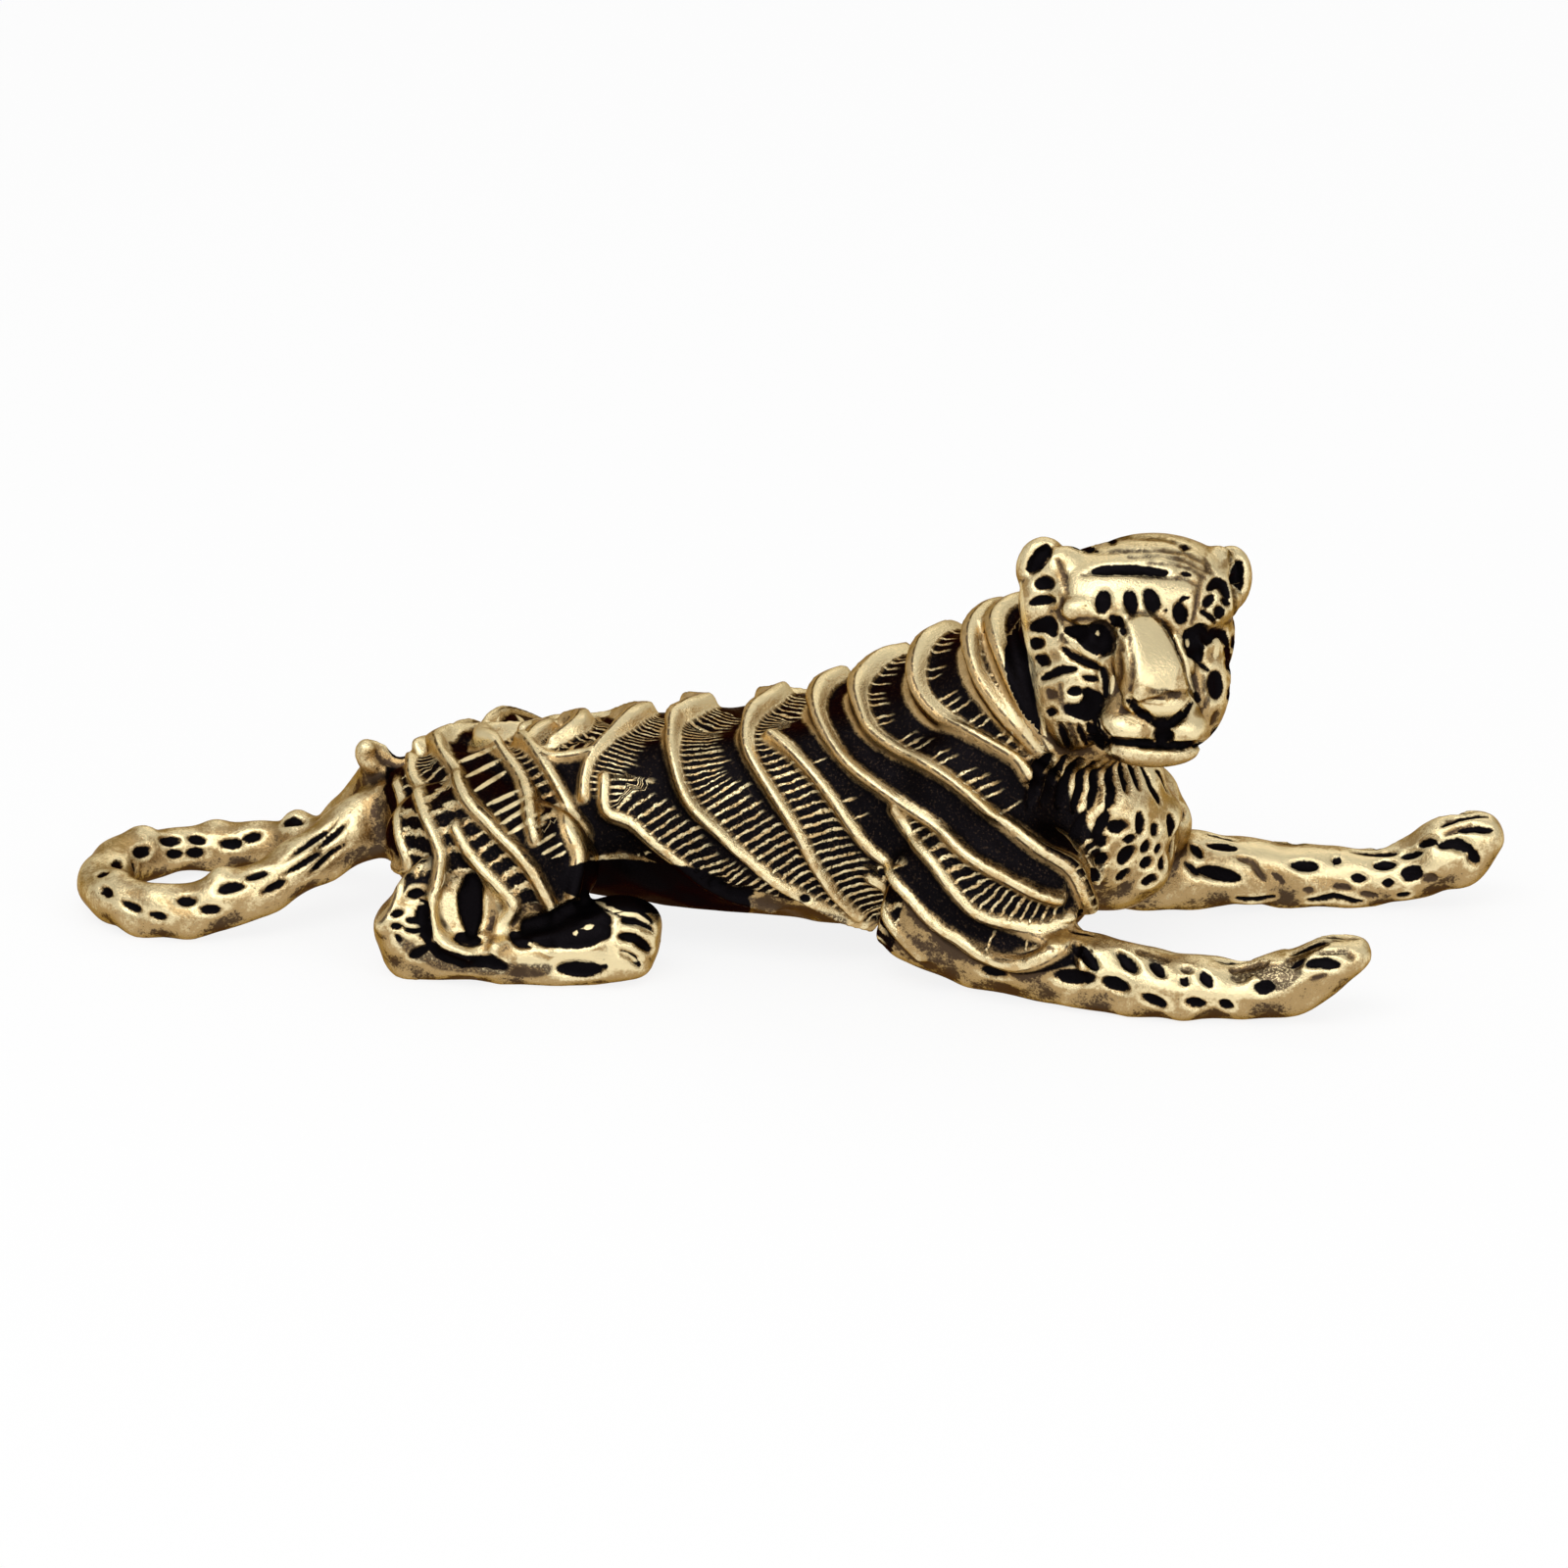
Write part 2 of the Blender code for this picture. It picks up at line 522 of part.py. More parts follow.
def rough_casting(collection):
    """The whole figure fused from its clay, before any ridge or groove is cut."""
    body = bmesh.new()
    trunk_clay(body)
    foreleg_clay(body, NEAR_TRACK, 0, 0)
    foreleg_clay(body, FAR_TRACK, FAR_FORELEG_REACH, FAR_PAW_LIFT)
    hind_leg_clay(body, -1)
    hind_leg_clay(body, 1)
    tail_clay(body)
    body_mesh = baked_mesh(fused("tiger_body", body, VOXEL, BODY_SOFTENING, collection))
    raise_ridges(body_mesh)
    whole = bmesh.new()
    whole.from_mesh(body_mesh)
    head_clay(whole)
    mesh = baked_mesh(fused("tiger_whole", whole, VOXEL, FACE_SOFTENING, collection))
    press_face(mesh)
    return mesh


def brass():
    """Cast brass, darkened in its hollows by age; the part shows its mean colour."""
    material = bpy.data.materials.new("aged_brass")
    material.use_nodes = True
    shader = material.node_tree.nodes["Principled BSDF"]
    shader.inputs["Base Color"].default_value = BRASS_COLOUR
    shader.inputs["Metallic"].default_value = 1.0
    shader.inputs["Roughness"].default_value = 0.35
    return material


def main():
    for obj in list(bpy.data.objects):
        bpy.data.objects.remove(obj)
    parts = bpy.data.collections.new("tiger_figurine")
    cutters = bpy.data.collections.new("tiger_cutters")
    bpy.context.scene.collection.children.link(parts)
    bpy.context.scene.collection.children.link(cutters)
    mesh = rough_casting(parts)
    tiger = bpy.data.objects.new("tiger", mesh)
    parts.objects.link(tiger)
    thin = tiger.modifiers.new("Thin out", "DECIMATE")
    thin.ratio = TRIANGLE_TARGET / (2 * len(mesh.vertices))
    floor = bpy.data.meshes.new("floor_cutter")
    block = bmesh.new()
    bmesh.ops.create_cube(block, size=1)
    bmesh.ops.scale(block, vec=(0.2, 0.2, FLOOR_BLOCK), verts=block.verts)
    bmesh.ops.translate(block, vec=(0, 0, -FLOOR_BLOCK / 2), verts=block.verts)
    block.to_mesh(floor)
    block.free()
    cutter = bpy.data.objects.new("floor_cutter", floor)
    cutter.hide_render = True
    cutter.display_type = "WIRE"
    cutters.objects.link(cutter)
    flat = tiger.modifiers.new("Flat soles", "BOOLEAN")
    flat.operation = "DIFFERENCE"
    flat.solver = "EXACT"
    flat.object = cutter
    mesh.materials.append(brass())


main()
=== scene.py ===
import math

import bmesh
import bpy
import numpy as np
from mathutils import Matrix, Vector


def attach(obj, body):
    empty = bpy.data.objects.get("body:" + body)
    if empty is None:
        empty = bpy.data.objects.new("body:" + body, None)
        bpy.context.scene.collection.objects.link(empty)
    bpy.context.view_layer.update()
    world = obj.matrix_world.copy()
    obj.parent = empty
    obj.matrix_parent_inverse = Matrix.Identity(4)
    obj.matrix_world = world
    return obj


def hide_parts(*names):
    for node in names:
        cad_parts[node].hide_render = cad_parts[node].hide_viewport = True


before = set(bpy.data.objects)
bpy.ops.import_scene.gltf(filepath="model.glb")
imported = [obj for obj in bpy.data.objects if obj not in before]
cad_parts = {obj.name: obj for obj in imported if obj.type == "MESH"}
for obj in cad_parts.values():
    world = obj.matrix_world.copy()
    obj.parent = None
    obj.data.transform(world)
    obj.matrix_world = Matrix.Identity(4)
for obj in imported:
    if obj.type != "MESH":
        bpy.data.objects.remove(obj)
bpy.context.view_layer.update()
mm = 0.001

# What a user would change on the cast figure. Lengths are in millimetres, turns in degrees.
tigerLook = {
    "fineness": 0.22,  # size of the cells that fuse the body
    "faceFineness": 0.205,  # size of the cells that fuse the head to it
    "triangles": 196000,  # of the finished figure
    "ridgeHeight": 1.1,  # of a ridge whose own height is 1
    "ridgeCrest": 0.12,  # half the width of a crest's flat top
    "crestSpread": 0.25,  # how much broader the crests are over the spine
    "ridgeFlank": 0.5,  # how far out a crest falls away steeply
    "paleCrest": 0.22,  # how much further the polish reaches on the upper back
    "ridgeApron": 1.8,  # how far the shallow slope runs on in front of it
    "valleyDepth": 0.4,  # how far the coat is sunk between the ridges
    "spineValley": 0.7,  # how much deeper the valleys are over the spine
    "hairPitch": 0.68,  # from one hairline to the next on the flanks
    "hairSlant": 0.55,  # 0 is square to the ridge, 1 nearer to the line of the body
    "haunchHairs": 0.72,  # how many of them the haunch has for one on the flanks
    "lumpSize": 1.35,  # radius of the lumps along the tail
    "lumpSeed": 4,
    "spotDepth": 0.25,  # of the spots on the tail and the stripes on the nape
    "axisHeight": 9.0,  # of the line inside the body round which the degrees of its back are counted
    "flankReach": 9.0,  # from that line to the flank
    "headCentre": (22.3, -4.3, 20.4),
    "headTurn": 21.0,
    "headTilt": 4.5,
    "footCentre": (-14.5, -11.7, 2.5),
    # Besides the metal and its patina, these colours paint light: brightGold paints the glints in the eyes
    # and on the hind foot, the lit front of each crest, and what faces up. tanGold and warmGold paint the
    # shaded back of each crest. brownFilm paints what faces down, and with blackFilm the shade under the
    # belly.
    "brightGold": (0.93, 0.77, 0.45),
    "warmGold": (0.47, 0.315, 0.14),
    "tanGold": (0.66, 0.46, 0.22),
    "brownFilm": (0.085, 0.054, 0.033),
    "blackFilm": (0.006, 0.005, 0.006),
}

# Where the photograph was taken from: degrees round from the tiger's right side and up, metres away
# from a point above the middle of the sole, and through a long lens, in millimetres.
photoView = {"azimuth": 8, "rise": 19, "distance": 0.5, "aimHeight": 0.0097, "lens": 180}


def turned(degrees, axis):
    return Matrix.Rotation(math.radians(degrees), 3, axis)


headTurn = turned(tigerLook["headTurn"], "Z") @ turned(tigerLook["headTilt"], "Y")
viewTurn = turned(photoView["azimuth"], "Z") @ turned(-photoView["rise"], "X")

# Ridges of the coat: height, how far and how thickly hairlines stand in front of it, then places
# along the body with degrees down the right side of the back. A ridge that starts beyond the
# spine crosses it. The left side carries the same ones.
ridges = (
    (0.7, 1.0, (-15.6, -20), (-16.2, 10), (-16.1, 28), (-15.4, 42), (-14.3, 50), (-11.8, 47)),
    (0.9, 1.0, (-13.3, -20), (-13.2, 0), (-13.5, 14), (-14.6, 32)),
    (0.8, 1.3, (-9.2, -20), (-9.9, 6), (-10.6, 24), (-11.6, 47), (-12.0, 62), (-12.0, 78)),
    (0.6, 1.2, (-10.8, 65), (-10.5, 85), (-8.8, 91), (-7.4, 100), (-5.5, 112), (-3.3, 128), (0, 140)),
    (1.0, 1.7, (-5.3, -20), (-6.2, 2), (-6.9, 14), (-6.8, 31), (-6.4, 52), (-5.2, 76), (-2.8, 93),
     (1, 116), (6.3, 144)),
    (0.9, 1.6, (-0.5, -20), (-1.1, 0), (-1.8, 13), (-2.0, 32), (-1.5, 50), (0.2, 70), (1.8, 86),
     (3.4, 108), (5.6, 135)),
    (0.8, 0.15, (-0.3, 38), (2.4, 58), (4, 71), (6.8, 95), (9, 102), (11, 109), (13.7, 115),
     (16.5, 115), (19.5, 109)),
    (0.9, 0.0, (3.3, -20), (2.3, 0), (2.2, 16), (3, 36), (5, 56), (8.3, 71), (10.8, 79), (12.8, 87),
     (15.2, 93), (18.8, 102)),
    (0.7, 1.0, (8.1, 75), (9.2, 85), (10.8, 91), (13.3, 103), (16, 108), (19.2, 109)),
    (1.0, 0.5, (7.3, -20), (5.4, 0), (4.9, 13), (5.4, 30), (7, 46), (12, 64), (14.6, 75), (17.2, 85),
     (19.5, 94), (20.7, 112)),
    (0.9, 0.5, (10.7, -20), (9.2, 0), (8.7, 13), (9, 26), (10.4, 37), (13, 47), (15.6, 54), (16.6, 61)),
    (0.8, 0.3, (14.7, -20), (13.2, 0), (12.2, 14), (12.8, 28), (14.4, 39), (16.4, 48), (17.4, 53)),
    (0.7, 0.0, (16.1, -20), (14.6, 0), (13.6, 12), (14.2, 24), (15.6, 37), (17.6, 49), (18.2, 54)),
    (0.6, 1.0, (-24.6, 80), (-23.7, 94), (-22.8, 103), (-22.9, 107), (-23.9, 112)),
    (0.8, 1.0, (-24, 35), (-23.5, 68), (-22.2, 82), (-20.8, 92), (-20.2, 100), (-20.6, 108),
     (-19.8, 114), (-17.8, 116)),
    (0.7, 1.0, (-19.5, 89), (-18.4, 97), (-16.7, 103), (-15.5, 109), (-16.4, 114)),
    (0.9, 0.0, (-22.4, -20), (-22.6, 0), (-22.2, 24), (-21.4, 50), (-19.6, 75), (-17.6, 86),
     (-15.4, 94), (-14.3, 100), (-13.2, 111)),
    (0.8, 1.0, (-19.6, -20), (-19.4, 4), (-18.6, 18), (-17.6, 45), (-16.2, 67), (-15, 82), (-14.4, 90)),
    (0.8, 0.0, (-16.9, 14), (-15.5, 45), (-14, 68), (-12.6, 87), (-11.7, 98), (-12, 109)),
    (0.6, 1.0, (6.6, 110), (8.2, 115), (10.1, 121)),
)

# How far each foreleg's stations lie to the left, from the shoulder to the toes.
nearTrack = (-8.2, -8.4, -8.9, -10.0, -11.6, -12.2, -12.0, -11.6, -11.4, -11.3, -11.3)
farTrack = (6.6, 6.6, 6.8, 7.2, 8.2, 9.2, 10.2, 10.6, 10.8, 11.0, 11.0)
farReach = 6.9  # the left foreleg lies this much further forward
farLift = 0.9  # and lifts its paw this much more

# Marks pressed into the casting. A line is its tone, half width and depth, then places along it,
# and one with a depth below zero stands out. A rubbed line is only polished.
# A spot is a place, half length, half width, lean in degrees and depth, and is always black.
# Face, as it is seen from a little above: to the right, up.
# A few of these paint light: the gold dots in the eyes are painted glints, and the rubbed line on the nose
# bridge is polish and also a painted highlight on its shaded flank.
faceMarks = (
    # polish on the nose bridge, and a painted highlight that lifts its left flank out of its shade
    ("rubbed", 1.25, 0, (0.6, 2.0), (1.3, -0.1), (1.8, -1.5)),
    ("rubbed", 0.91, 0, (-3.4, 6.0), (-3.1, 4.5), (-0.1, 4.6), (3.0, 4.4)),
    ("rubbed", 0.55, 0, (-3.1, 6.3), (-0.1, 6.2), (2.4, 6.0)),
    ("rubbed", 0.61, 0, (-0.8, -4.1), (0.2, -4.1)),
    ("rubbed", 0.55, 0, (3.3, -4.3), (4.1, -4.1)),
    ("rubbed", 0.43, 0, (-0.2, -6.0), (1.8, -6.1), (3.5, -6.0)),
    ("rubbed", 0.61, 0, (5.4, 6.4), (5.4, 6.3)),
    ("rubbed", 0.43, 0, (0.5, -3.0), (1.6, -3.5), (2.7, -3.0)),
    ("black", 0.46, 0.5, (-5.2, 6.9), (-5.7, 6.3), (-6.2, 5.6)),
    ("black", 0.95, 0, (-7.8, 4.6), (-7.7, 3.3), (-7.1, -0.7), (-6.3, -5.4), (-6.0, -7.4)),
    ("gold", 0.12, -0.1, (-6.8, 4.8), (-6.7, 3.3), (-6.5, 1.8), (-6.2, 0.4), (-6.0, -1.0), (-5.6, -2.8),
     (-5.1, -5.4)),
    (-5.4, 4.7, 0.55, 0.43, 0, 0.3),
    ("black", 0.30, 0.25, (-6.1, 3.5), (-5.5, 3.7), (-4.9, 3.6)),
    ("black", 0.46, 0.25, (-6.0, 2.0), (-5.1, 2.2), (-4.8, 1.6)),
    (-5.8, 1.0, 0.43, 0.40, 0, 0.25),
    ("black", 0.33, 0.25, (-5.7, 0.1), (-5.2, -0.2)),
    ("black", 0.27, 0.25, (-5.4, -1.2), (-4.4, -0.7), (-3.5, -0.6)),
    ("brown", 0.30, 0.15, (-5.1, -2.0), (-4.7, -2.3)),
    ("black", 0.24, 0.2, (-5.1, -3.2), (-4.7, -3.3)),
    ("brown", 0.18, 0.15, (-4.6, 6.2), (-4.1, 5.1), (-4.0, 4.1)),
    ("brown", 0.12, 0.1, (-4.3, 3.8), (-4.5, 2.7), (-4.2, 2.1)),
    ("brown", 0.13, 0.15, (-4.2, 5.2), (-4.1, 4.5)),
    ("black", 0.13, 0.15, (-3.7, 7.1), (-2.9, 6.8), (-2.0, 6.7)),
    ("black", 0.33, 0.3, (-2.4, 5.4), (-1.3, 5.5), (0.5, 5.5), (2.1, 5.3)),
    ("brown", 0.12, 0.15, (-3.1, 5.2), (-2.4, 5.3)),
    (-1.8, 3.5, 0.76, 0.49, 82, 0.3),
    (-0.1, 3.5, 0.79, 0.43, 102, 0.3),
    (1.2, 3.6, 0.82, 0.49, 112, 0.3),
    (3.0, 2.8, 0.73, 0.46, 100, 0.3),
    (2.1, 3.0, 0.18, 0.18, 0, 0.1),
    ("black", 0.13, 0.1, (3.0, 3.7), (3.5, 3.8)),
    ("black", 0.36, 0.3, (-1.2, 2.5), (-0.7, 2.1)),
    ("black", 0.21, 0.3, (-0.7, 1.9), (-0.6, 1.5)),
    ("black", 0.27, 0.25, (-2.9, 7.0), (-2.3, 7.0)),
    ("black", 0.18, 0.2, (-1.3, 7.3), (-0.9, 7.4)),
    ("black", 0.18, 0.2, (3.1, 7.0), (3.5, 6.9)),
    ("brown", 0.11, 0.12, (-2.0, 6.6), (-0.1, 6.7), (1.8, 6.7), (3.3, 6.6), (4.4, 6.0)),
    ("brown", 0.10, 0.12, (-0.1, 6.3), (1.8, 6.4), (3.3, 6.1), (4.6, 5.4)),
    ("brown", 0.10, 0.12, (0.8, 5.9), (2.4, 5.9), (3.6, 5.6), (4.6, 5.0)),
    ("brown", 0.11, 0.12, (-0.1, 5.1), (1.8, 5.0), (3.1, 5.0), (4.3, 4.5)),
    ("brown", 0.11, 0.12, (-1.9, 7.4), (-0.1, 7.6), (2.1, 7.5), (3.7, 6.9)),
    ("black", 0.15, 0.15, (3.0, 5.3), (3.6, 5.2)),
    ("brown", 0.12, 0.12, (4.4, 5.2), (4.1, 4.2), (4.0, 3.2), (3.7, 2.2)),
    ("black", 0.33, 0.3, (4.9, 4.4), (5.3, 4.8), (5.7, 4.6), (6.0, 3.9)),
    ("black", 0.27, 0.3, (4.6, 3.3), (5.0, 3.9)),
    ("black", 0.21, 0.25, (5.7, 3.7), (6.1, 3.4)),
    (5.5, 2.9, 0.43, 0.36, 90, 0.3),
    ("black", 0.18, 0.25, (4.3, 3.0), (4.9, 2.6), (5.2, 2.3)),
    ("black", 0.46, 0.6, (6.9, 6.0), (6.7, 5.2), (6.9, 4.5)),
    ("brown", 0.12, 0.15, (4.6, 6.2), (4.8, 5.5), (5.3, 5.2)),
    ("brown", 0.12, 0.15, (6.3, 6.8), (6.3, 6.0)),
    ("brown", 0.12, 0.1, (6.3, 5.1), (6.5, 3.8), (6.7, 2.1)),
    ("black", 0.79, 0.4, (-3.0, 1.3), (-2.3, 1.1), (-1.6, 0.8)),
    ("black", 0.49, 0.4, (-2.0, 0.6), (-1.8, 0.5)),
    ("black", 0.36, 0.4, (-4.0, 1.8), (-3.3, 1.6), (-2.7, 1.6)),
    ("black", 0.55, 0.4, (-2.7, 1.6), (-2.0, 1.6), (-1.5, 1.2)),
    # a painted glint in this eye
    ("gold", 0.15, 0, (-2.1, 1.7), (-2.1, 1.5)),
    ("gold", 0.13, -0.15, (-4.1, 1.5), (-3.5, 0.8), (-2.7, 0.3), (-1.8, -0.2)),
    ("brown", 0.13, 0.15, (-4.1, 2.0), (-3.3, 2.4), (-2.3, 2.4), (-1.5, 2.1), (-0.9, 1.2), (-0.7, 0.5)),
    ("black", 0.22, 0.25, (-4.3, 0.7), (-3.7, 0.2), (-2.9, -0.2), (-2.0, -0.6)),
    ("brown", 0.24, 0.1, (-4.0, 1.1), (-4.3, 1.5)),
    ("gold", 0.10, -0.1, (-4.4, 0.4), (-3.9, -0.2), (-3.3, -0.4)),
    ("brown", 0.14, 0.1, (-0.9, 0.6), (-0.8, -1.0), (-1.1, -2.0), (-1.7, -2.9)),
    ("black", 0.22, 0.25, (-1.8, -0.6), (-1.6, -1.5), (-1.6, -2.3)),
    ("gold", 0.15, -0.1, (-1.2, -1.1), (-1.3, -2.1)),
    ("black", 0.19, 0.2, (-3.0, -1.1), (-2.2, -1.3)),
    ("gold", 0.10, -0.1, (-3.0, -0.6), (-2.3, -0.9)),
    ("black", 0.61, 0.35, (-2.7, -2.1), (-2.4, -2.6), (-2.7, -3.2), (-3.7, -3.2)),
    ("black", 0.30, 0.3, (-3.8, -2.0), (-3.1, -2.0)),
    ("black", 0.30, 0.3, (-4.0, -2.9), (-3.6, -3.4)),
    ("gold", 0.21, 0, (-3.5, -2.4), (-3.3, -2.6)),
    ("brown", 0.15, 0.1, (-4.4, -1.6), (-4.3, -2.6), (-4.0, -3.3)),
    ("black", 0.21, 0.25, (-4.4, -4.1), (-4.1, -4.7), (-3.8, -5.4)),
    ("black", 0.18, 0.25, (-3.3, -4.1), (-2.7, -5.2)),
    ("black", 0.24, 0.3, (-2.6, -4.1), (-2.1, -4.9), (-1.5, -5.5)),
    ("brown", 0.18, 0.15, (-3.8, -4.1), (-3.3, -5.2)),
    ("black", 0.21, 0.25, (-2.3, -3.2), (-2.1, -4.3), (-1.5, -4.9)),
    ("brown", 0.13, 0.15, (-0.5, 2.3), (-0.2, 1.1), (-0.1, -0.1), (-0.1, -1.0), (-0.3, -2.0)),
    ("brown", 0.12, 0.2, (-0.3, 2.5), (0.4, 2.9), (1.1, 2.8)),
    ("brown", 0.13, 0.2, (1.2, 2.8), (2.0, 2.1), (2.7, 0.8), (3.2, -0.4), (3.5, -1.5), (3.9, -2.3)),
    ("black", 0.08, 0.2, (1.9, 2.1), (2.6, 1.0), (3.0, -0.2)),
    ("gold", 0.11, -0.1, (2.7, 1.5), (3.3, 0.1), (3.6, -1.1), (3.9, -2.0)),
    ("brown", 0.18, 0.12, (0.9, -2.0), (1.9, -2.1), (2.7, -2.3)),
    ("gold", 0.11, -0.08, (0.7, -2.6), (1.8, -2.7), (3.0, -2.6)),
    ("black", 0.24, 0.35, (-0.3, -2.6), (0.3, -3.2), (1.0, -3.7)),
    ("black", 0.24, 0.35, (1.0, -3.8), (1.8, -4.1), (2.5, -4.0), (3.2, -3.4), (3.7, -2.7)),
    ("black", 0.18, 0.3, (3.9, -2.0), (4.3, -2.6)),
    ("black", 0.55, 0.5, (2.0, -4.4), (1.9, -5.1)),
    ("black", 0.30, 0.5, (1.5, -4.1), (2.5, -4.1)),
    ("black", 0.20, 0.35, (-2.6, -4.9), (-1.4, -5.1), (-0.2, -5.2), (1.3, -5.3), (2.9, -5.4), (5.2, -5.2)),
    ("black", 0.18, 0.3, (-2.3, -4.8), (-1.4, -5.1)),
    ("brown", 0.18, 0.1, (-0.7, -3.2), (-0.3, -3.3)),
    ("brown", 0.12, 0.1, (-1.2, -6.0), (-0.3, -6.5), (1.8, -6.7)),
    ("black", 0.61, 0.4, (3.6, 1.4), (3.9, 0.8), (4.2, 0.2)),
    ("black", 0.49, 0.35, (3.8, 1.6), (4.3, 1.6), (4.8, 1.2)),
    # a painted glint in the other eye
    ("gold", 0.12, 0, (3.5, 1.3), (3.5, 0.8)),
    ("black", 0.27, 0.3, (4.7, 1.0), (5.2, 1.6), (5.8, 1.6), (6.1, 1.0)),
    ("black", 0.24, 0.25, (6.1, 0.8), (6.3, 0.1)),
    ("gold", 0.18, -0.1, (5.5, 1.1), (5.3, 0.1)),
    ("black", 0.17, 0.2, (6.6, 1.5), (6.6, 0.7)),
    ("black", 0.24, 0.25, (6.1, -0.1), (6.7, -0.9)),
    (5.3, -1.6, 0.91, 0.52, 92, 0.3),
    ("black", 0.15, 0.2, (4.2, -0.2), (4.9, -0.7)),
    ("brown", 0.15, 0.15, (3.7, -0.9), (4.1, -1.6), (4.2, -2.6)),
    ("brown", 0.12, 0.12, (4.6, -1.0), (4.6, -2.0)),
    ("black", 0.15, 0.2, (6.4, -1.7), (6.3, -2.5)),
    ("brown", 0.18, 0.15, (5.5, -3.3), (5.2, -4.0)),
    ("black", 0.18, 0.2, (5.6, -4.2), (5.3, -4.7)),
    ("black", 0.18, 0.2, (5.0, -5.1), (4.8, -5.3)),
    ("brown", 0.18, 0.12, (4.7, -2.9), (4.9, -2.3)),
)
# Sides of the head: degrees round it from the nose, up.
ruffMarks = (
    (-88, 4.9, 0.42, 0.33, 0, 0.25),
    (-88, 3.7, 0.7, 0.28, 15, 0.25),
    (-80, 2.6, 0.65, 0.42, 15, 0.25),
    (-79, 1.4, 0.55, 0.36, 16, 0.25),
    (-76, 0.4, 0.5, 0.32, 17, 0.25),
    (-70, -0.5, 0.5, 0.27, 17, 0.25),
    (-66, -1.6, 0.42, 0.25, 17, 0.25),
    (-64, -2.6, 0.35, 0.25, 16, 0.25),
    (-63, -3.5, 0.25, 0.33, 0, 0.25),
    (88, 4.6, 0.42, 0.33, 0, 0.25),
    (86, 3.2, 0.6, 0.3, -15, 0.25),
    (82, 1.8, 0.55, 0.36, -16, 0.25),
    (78, 0.4, 0.5, 0.32, -17, 0.25),
    (72, -1.0, 0.45, 0.3, -17, 0.25),
    (68, -2.4, 0.35, 0.25, -16, 0.25),
)
# Nape: half width, then degrees round the head from the nose and up, once for both sides.
napeStripes = (
    (0.30, (98, 6.4), (125, 6.8), (150, 6.9)),
    (0.34, (102, 4.8), (130, 5.2), (160, 5.4)),
    (0.34, (104, 3.2), (132, 3.5), (165, 3.8)),
    (0.32, (106, 1.6), (134, 1.8), (165, 2.0)),
    (0.30, (108, 0.0), (134, 0.0), (160, 0.2)),
    (0.28, (108, -1.6), (130, -1.8), (150, -1.8)),
    (0.25, (106, -3.2), (125, -3.5)),
)
# Throat and chest: degrees round an upright line inside the shoulders, height.
chestMarks = (
    ("black", 0.53, 0.25, (-64, 14.9), (-69, 13.6), (-74, 12.1)),
    ("black", 0.36, 0.25, (-56, 14.6), (-60, 13.1), (-66, 12.0)),
    ("black", 0.35, 0.25, (-50, 14.4), (-52, 12.8), (-57, 11.5)),
    ("black", 0.31, 0.25, (-43, 14.2), (-45, 12.3), (-50, 11.1)),
    ("black", 0.27, 0.25, (-36, 13.8), (-39, 12.1), (-44, 10.9)),
    ("black", 0.27, 0.25, (-30, 13.6), (-34, 11.9), (-38, 11.0)),
    ("black", 0.24, 0.2, (-25, 13.4), (-29, 11.9)),
    ("black", 0.24, 0.2, (-20, 13.2), (-23, 11.8)),
    ("black", 0.27, 0.2, (-15, 12.8), (-16, 11.6), (-12, 10.4)),
    ("black", 0.24, 0.2, (-8, 12.2), (0, 10.4)),
    ("black", 0.24, 0.2, (0, 12.4), (10, 10.4)),
    ("black", 0.35, 0.2, (-38, 10.7), (-41, 9.8), (-44, 9.3)),
    ("black", 0.35, 0.2, (-46, 10.7), (-50, 9.9), (-55, 9.4)),
    (-35, 9.8, 0.53, 0.47, 0, 0.3),
    (-27, 9.8, 0.75, 0.43, 90, 0.3),
    (-19, 9.0, 0.45, 0.41, 0, 0.3),
    (-9, 8.7, 0.75, 0.56, 70, 0.3),
    (-24, 8.1, 0.45, 0.41, 0, 0.3),
    (-31.5, 7.8, 0.69, 0.50, 60, 0.3),
    (-6, 7.2, 0.75, 0.47, 45, 0.3),
    (-23, 7.0, 0.45, 0.41, 0, 0.3),
    (-16, 6.6, 0.45, 0.41, 0, 0.3),
    (-41, 7.8, 0.50, 0.41, 0, 0.3),
    (-31, 6.4, 0.45, 0.41, 0, 0.3),
    (-21, 5.7, 0.45, 0.41, 0, 0.3),
    (-31, 8.9, 0.38, 0.30, 0, 0.25),
    (-18, 7.7, 0.38, 0.30, 0, 0.25),
    (-41, 9.0, 0.45, 0.38, 0, 0.25),
    (-47, 7.0, 0.88, 0.50, -22, 0.3),
    (12, 8.6, 0.62, 0.44, 40, 0.3),
    (4, 6.0, 0.56, 0.44, 0, 0.3),
    (22, 7.4, 0.56, 0.44, 0, 0.3),
    ("black", 0.28, 0.25, (20, 12.6), (32, 10.8)),
    ("black", 0.28, 0.25, (32, 13.2), (44, 11.2)),
    ("black", 0.31, 0.25, (44, 13.6), (56, 11.6)),
)
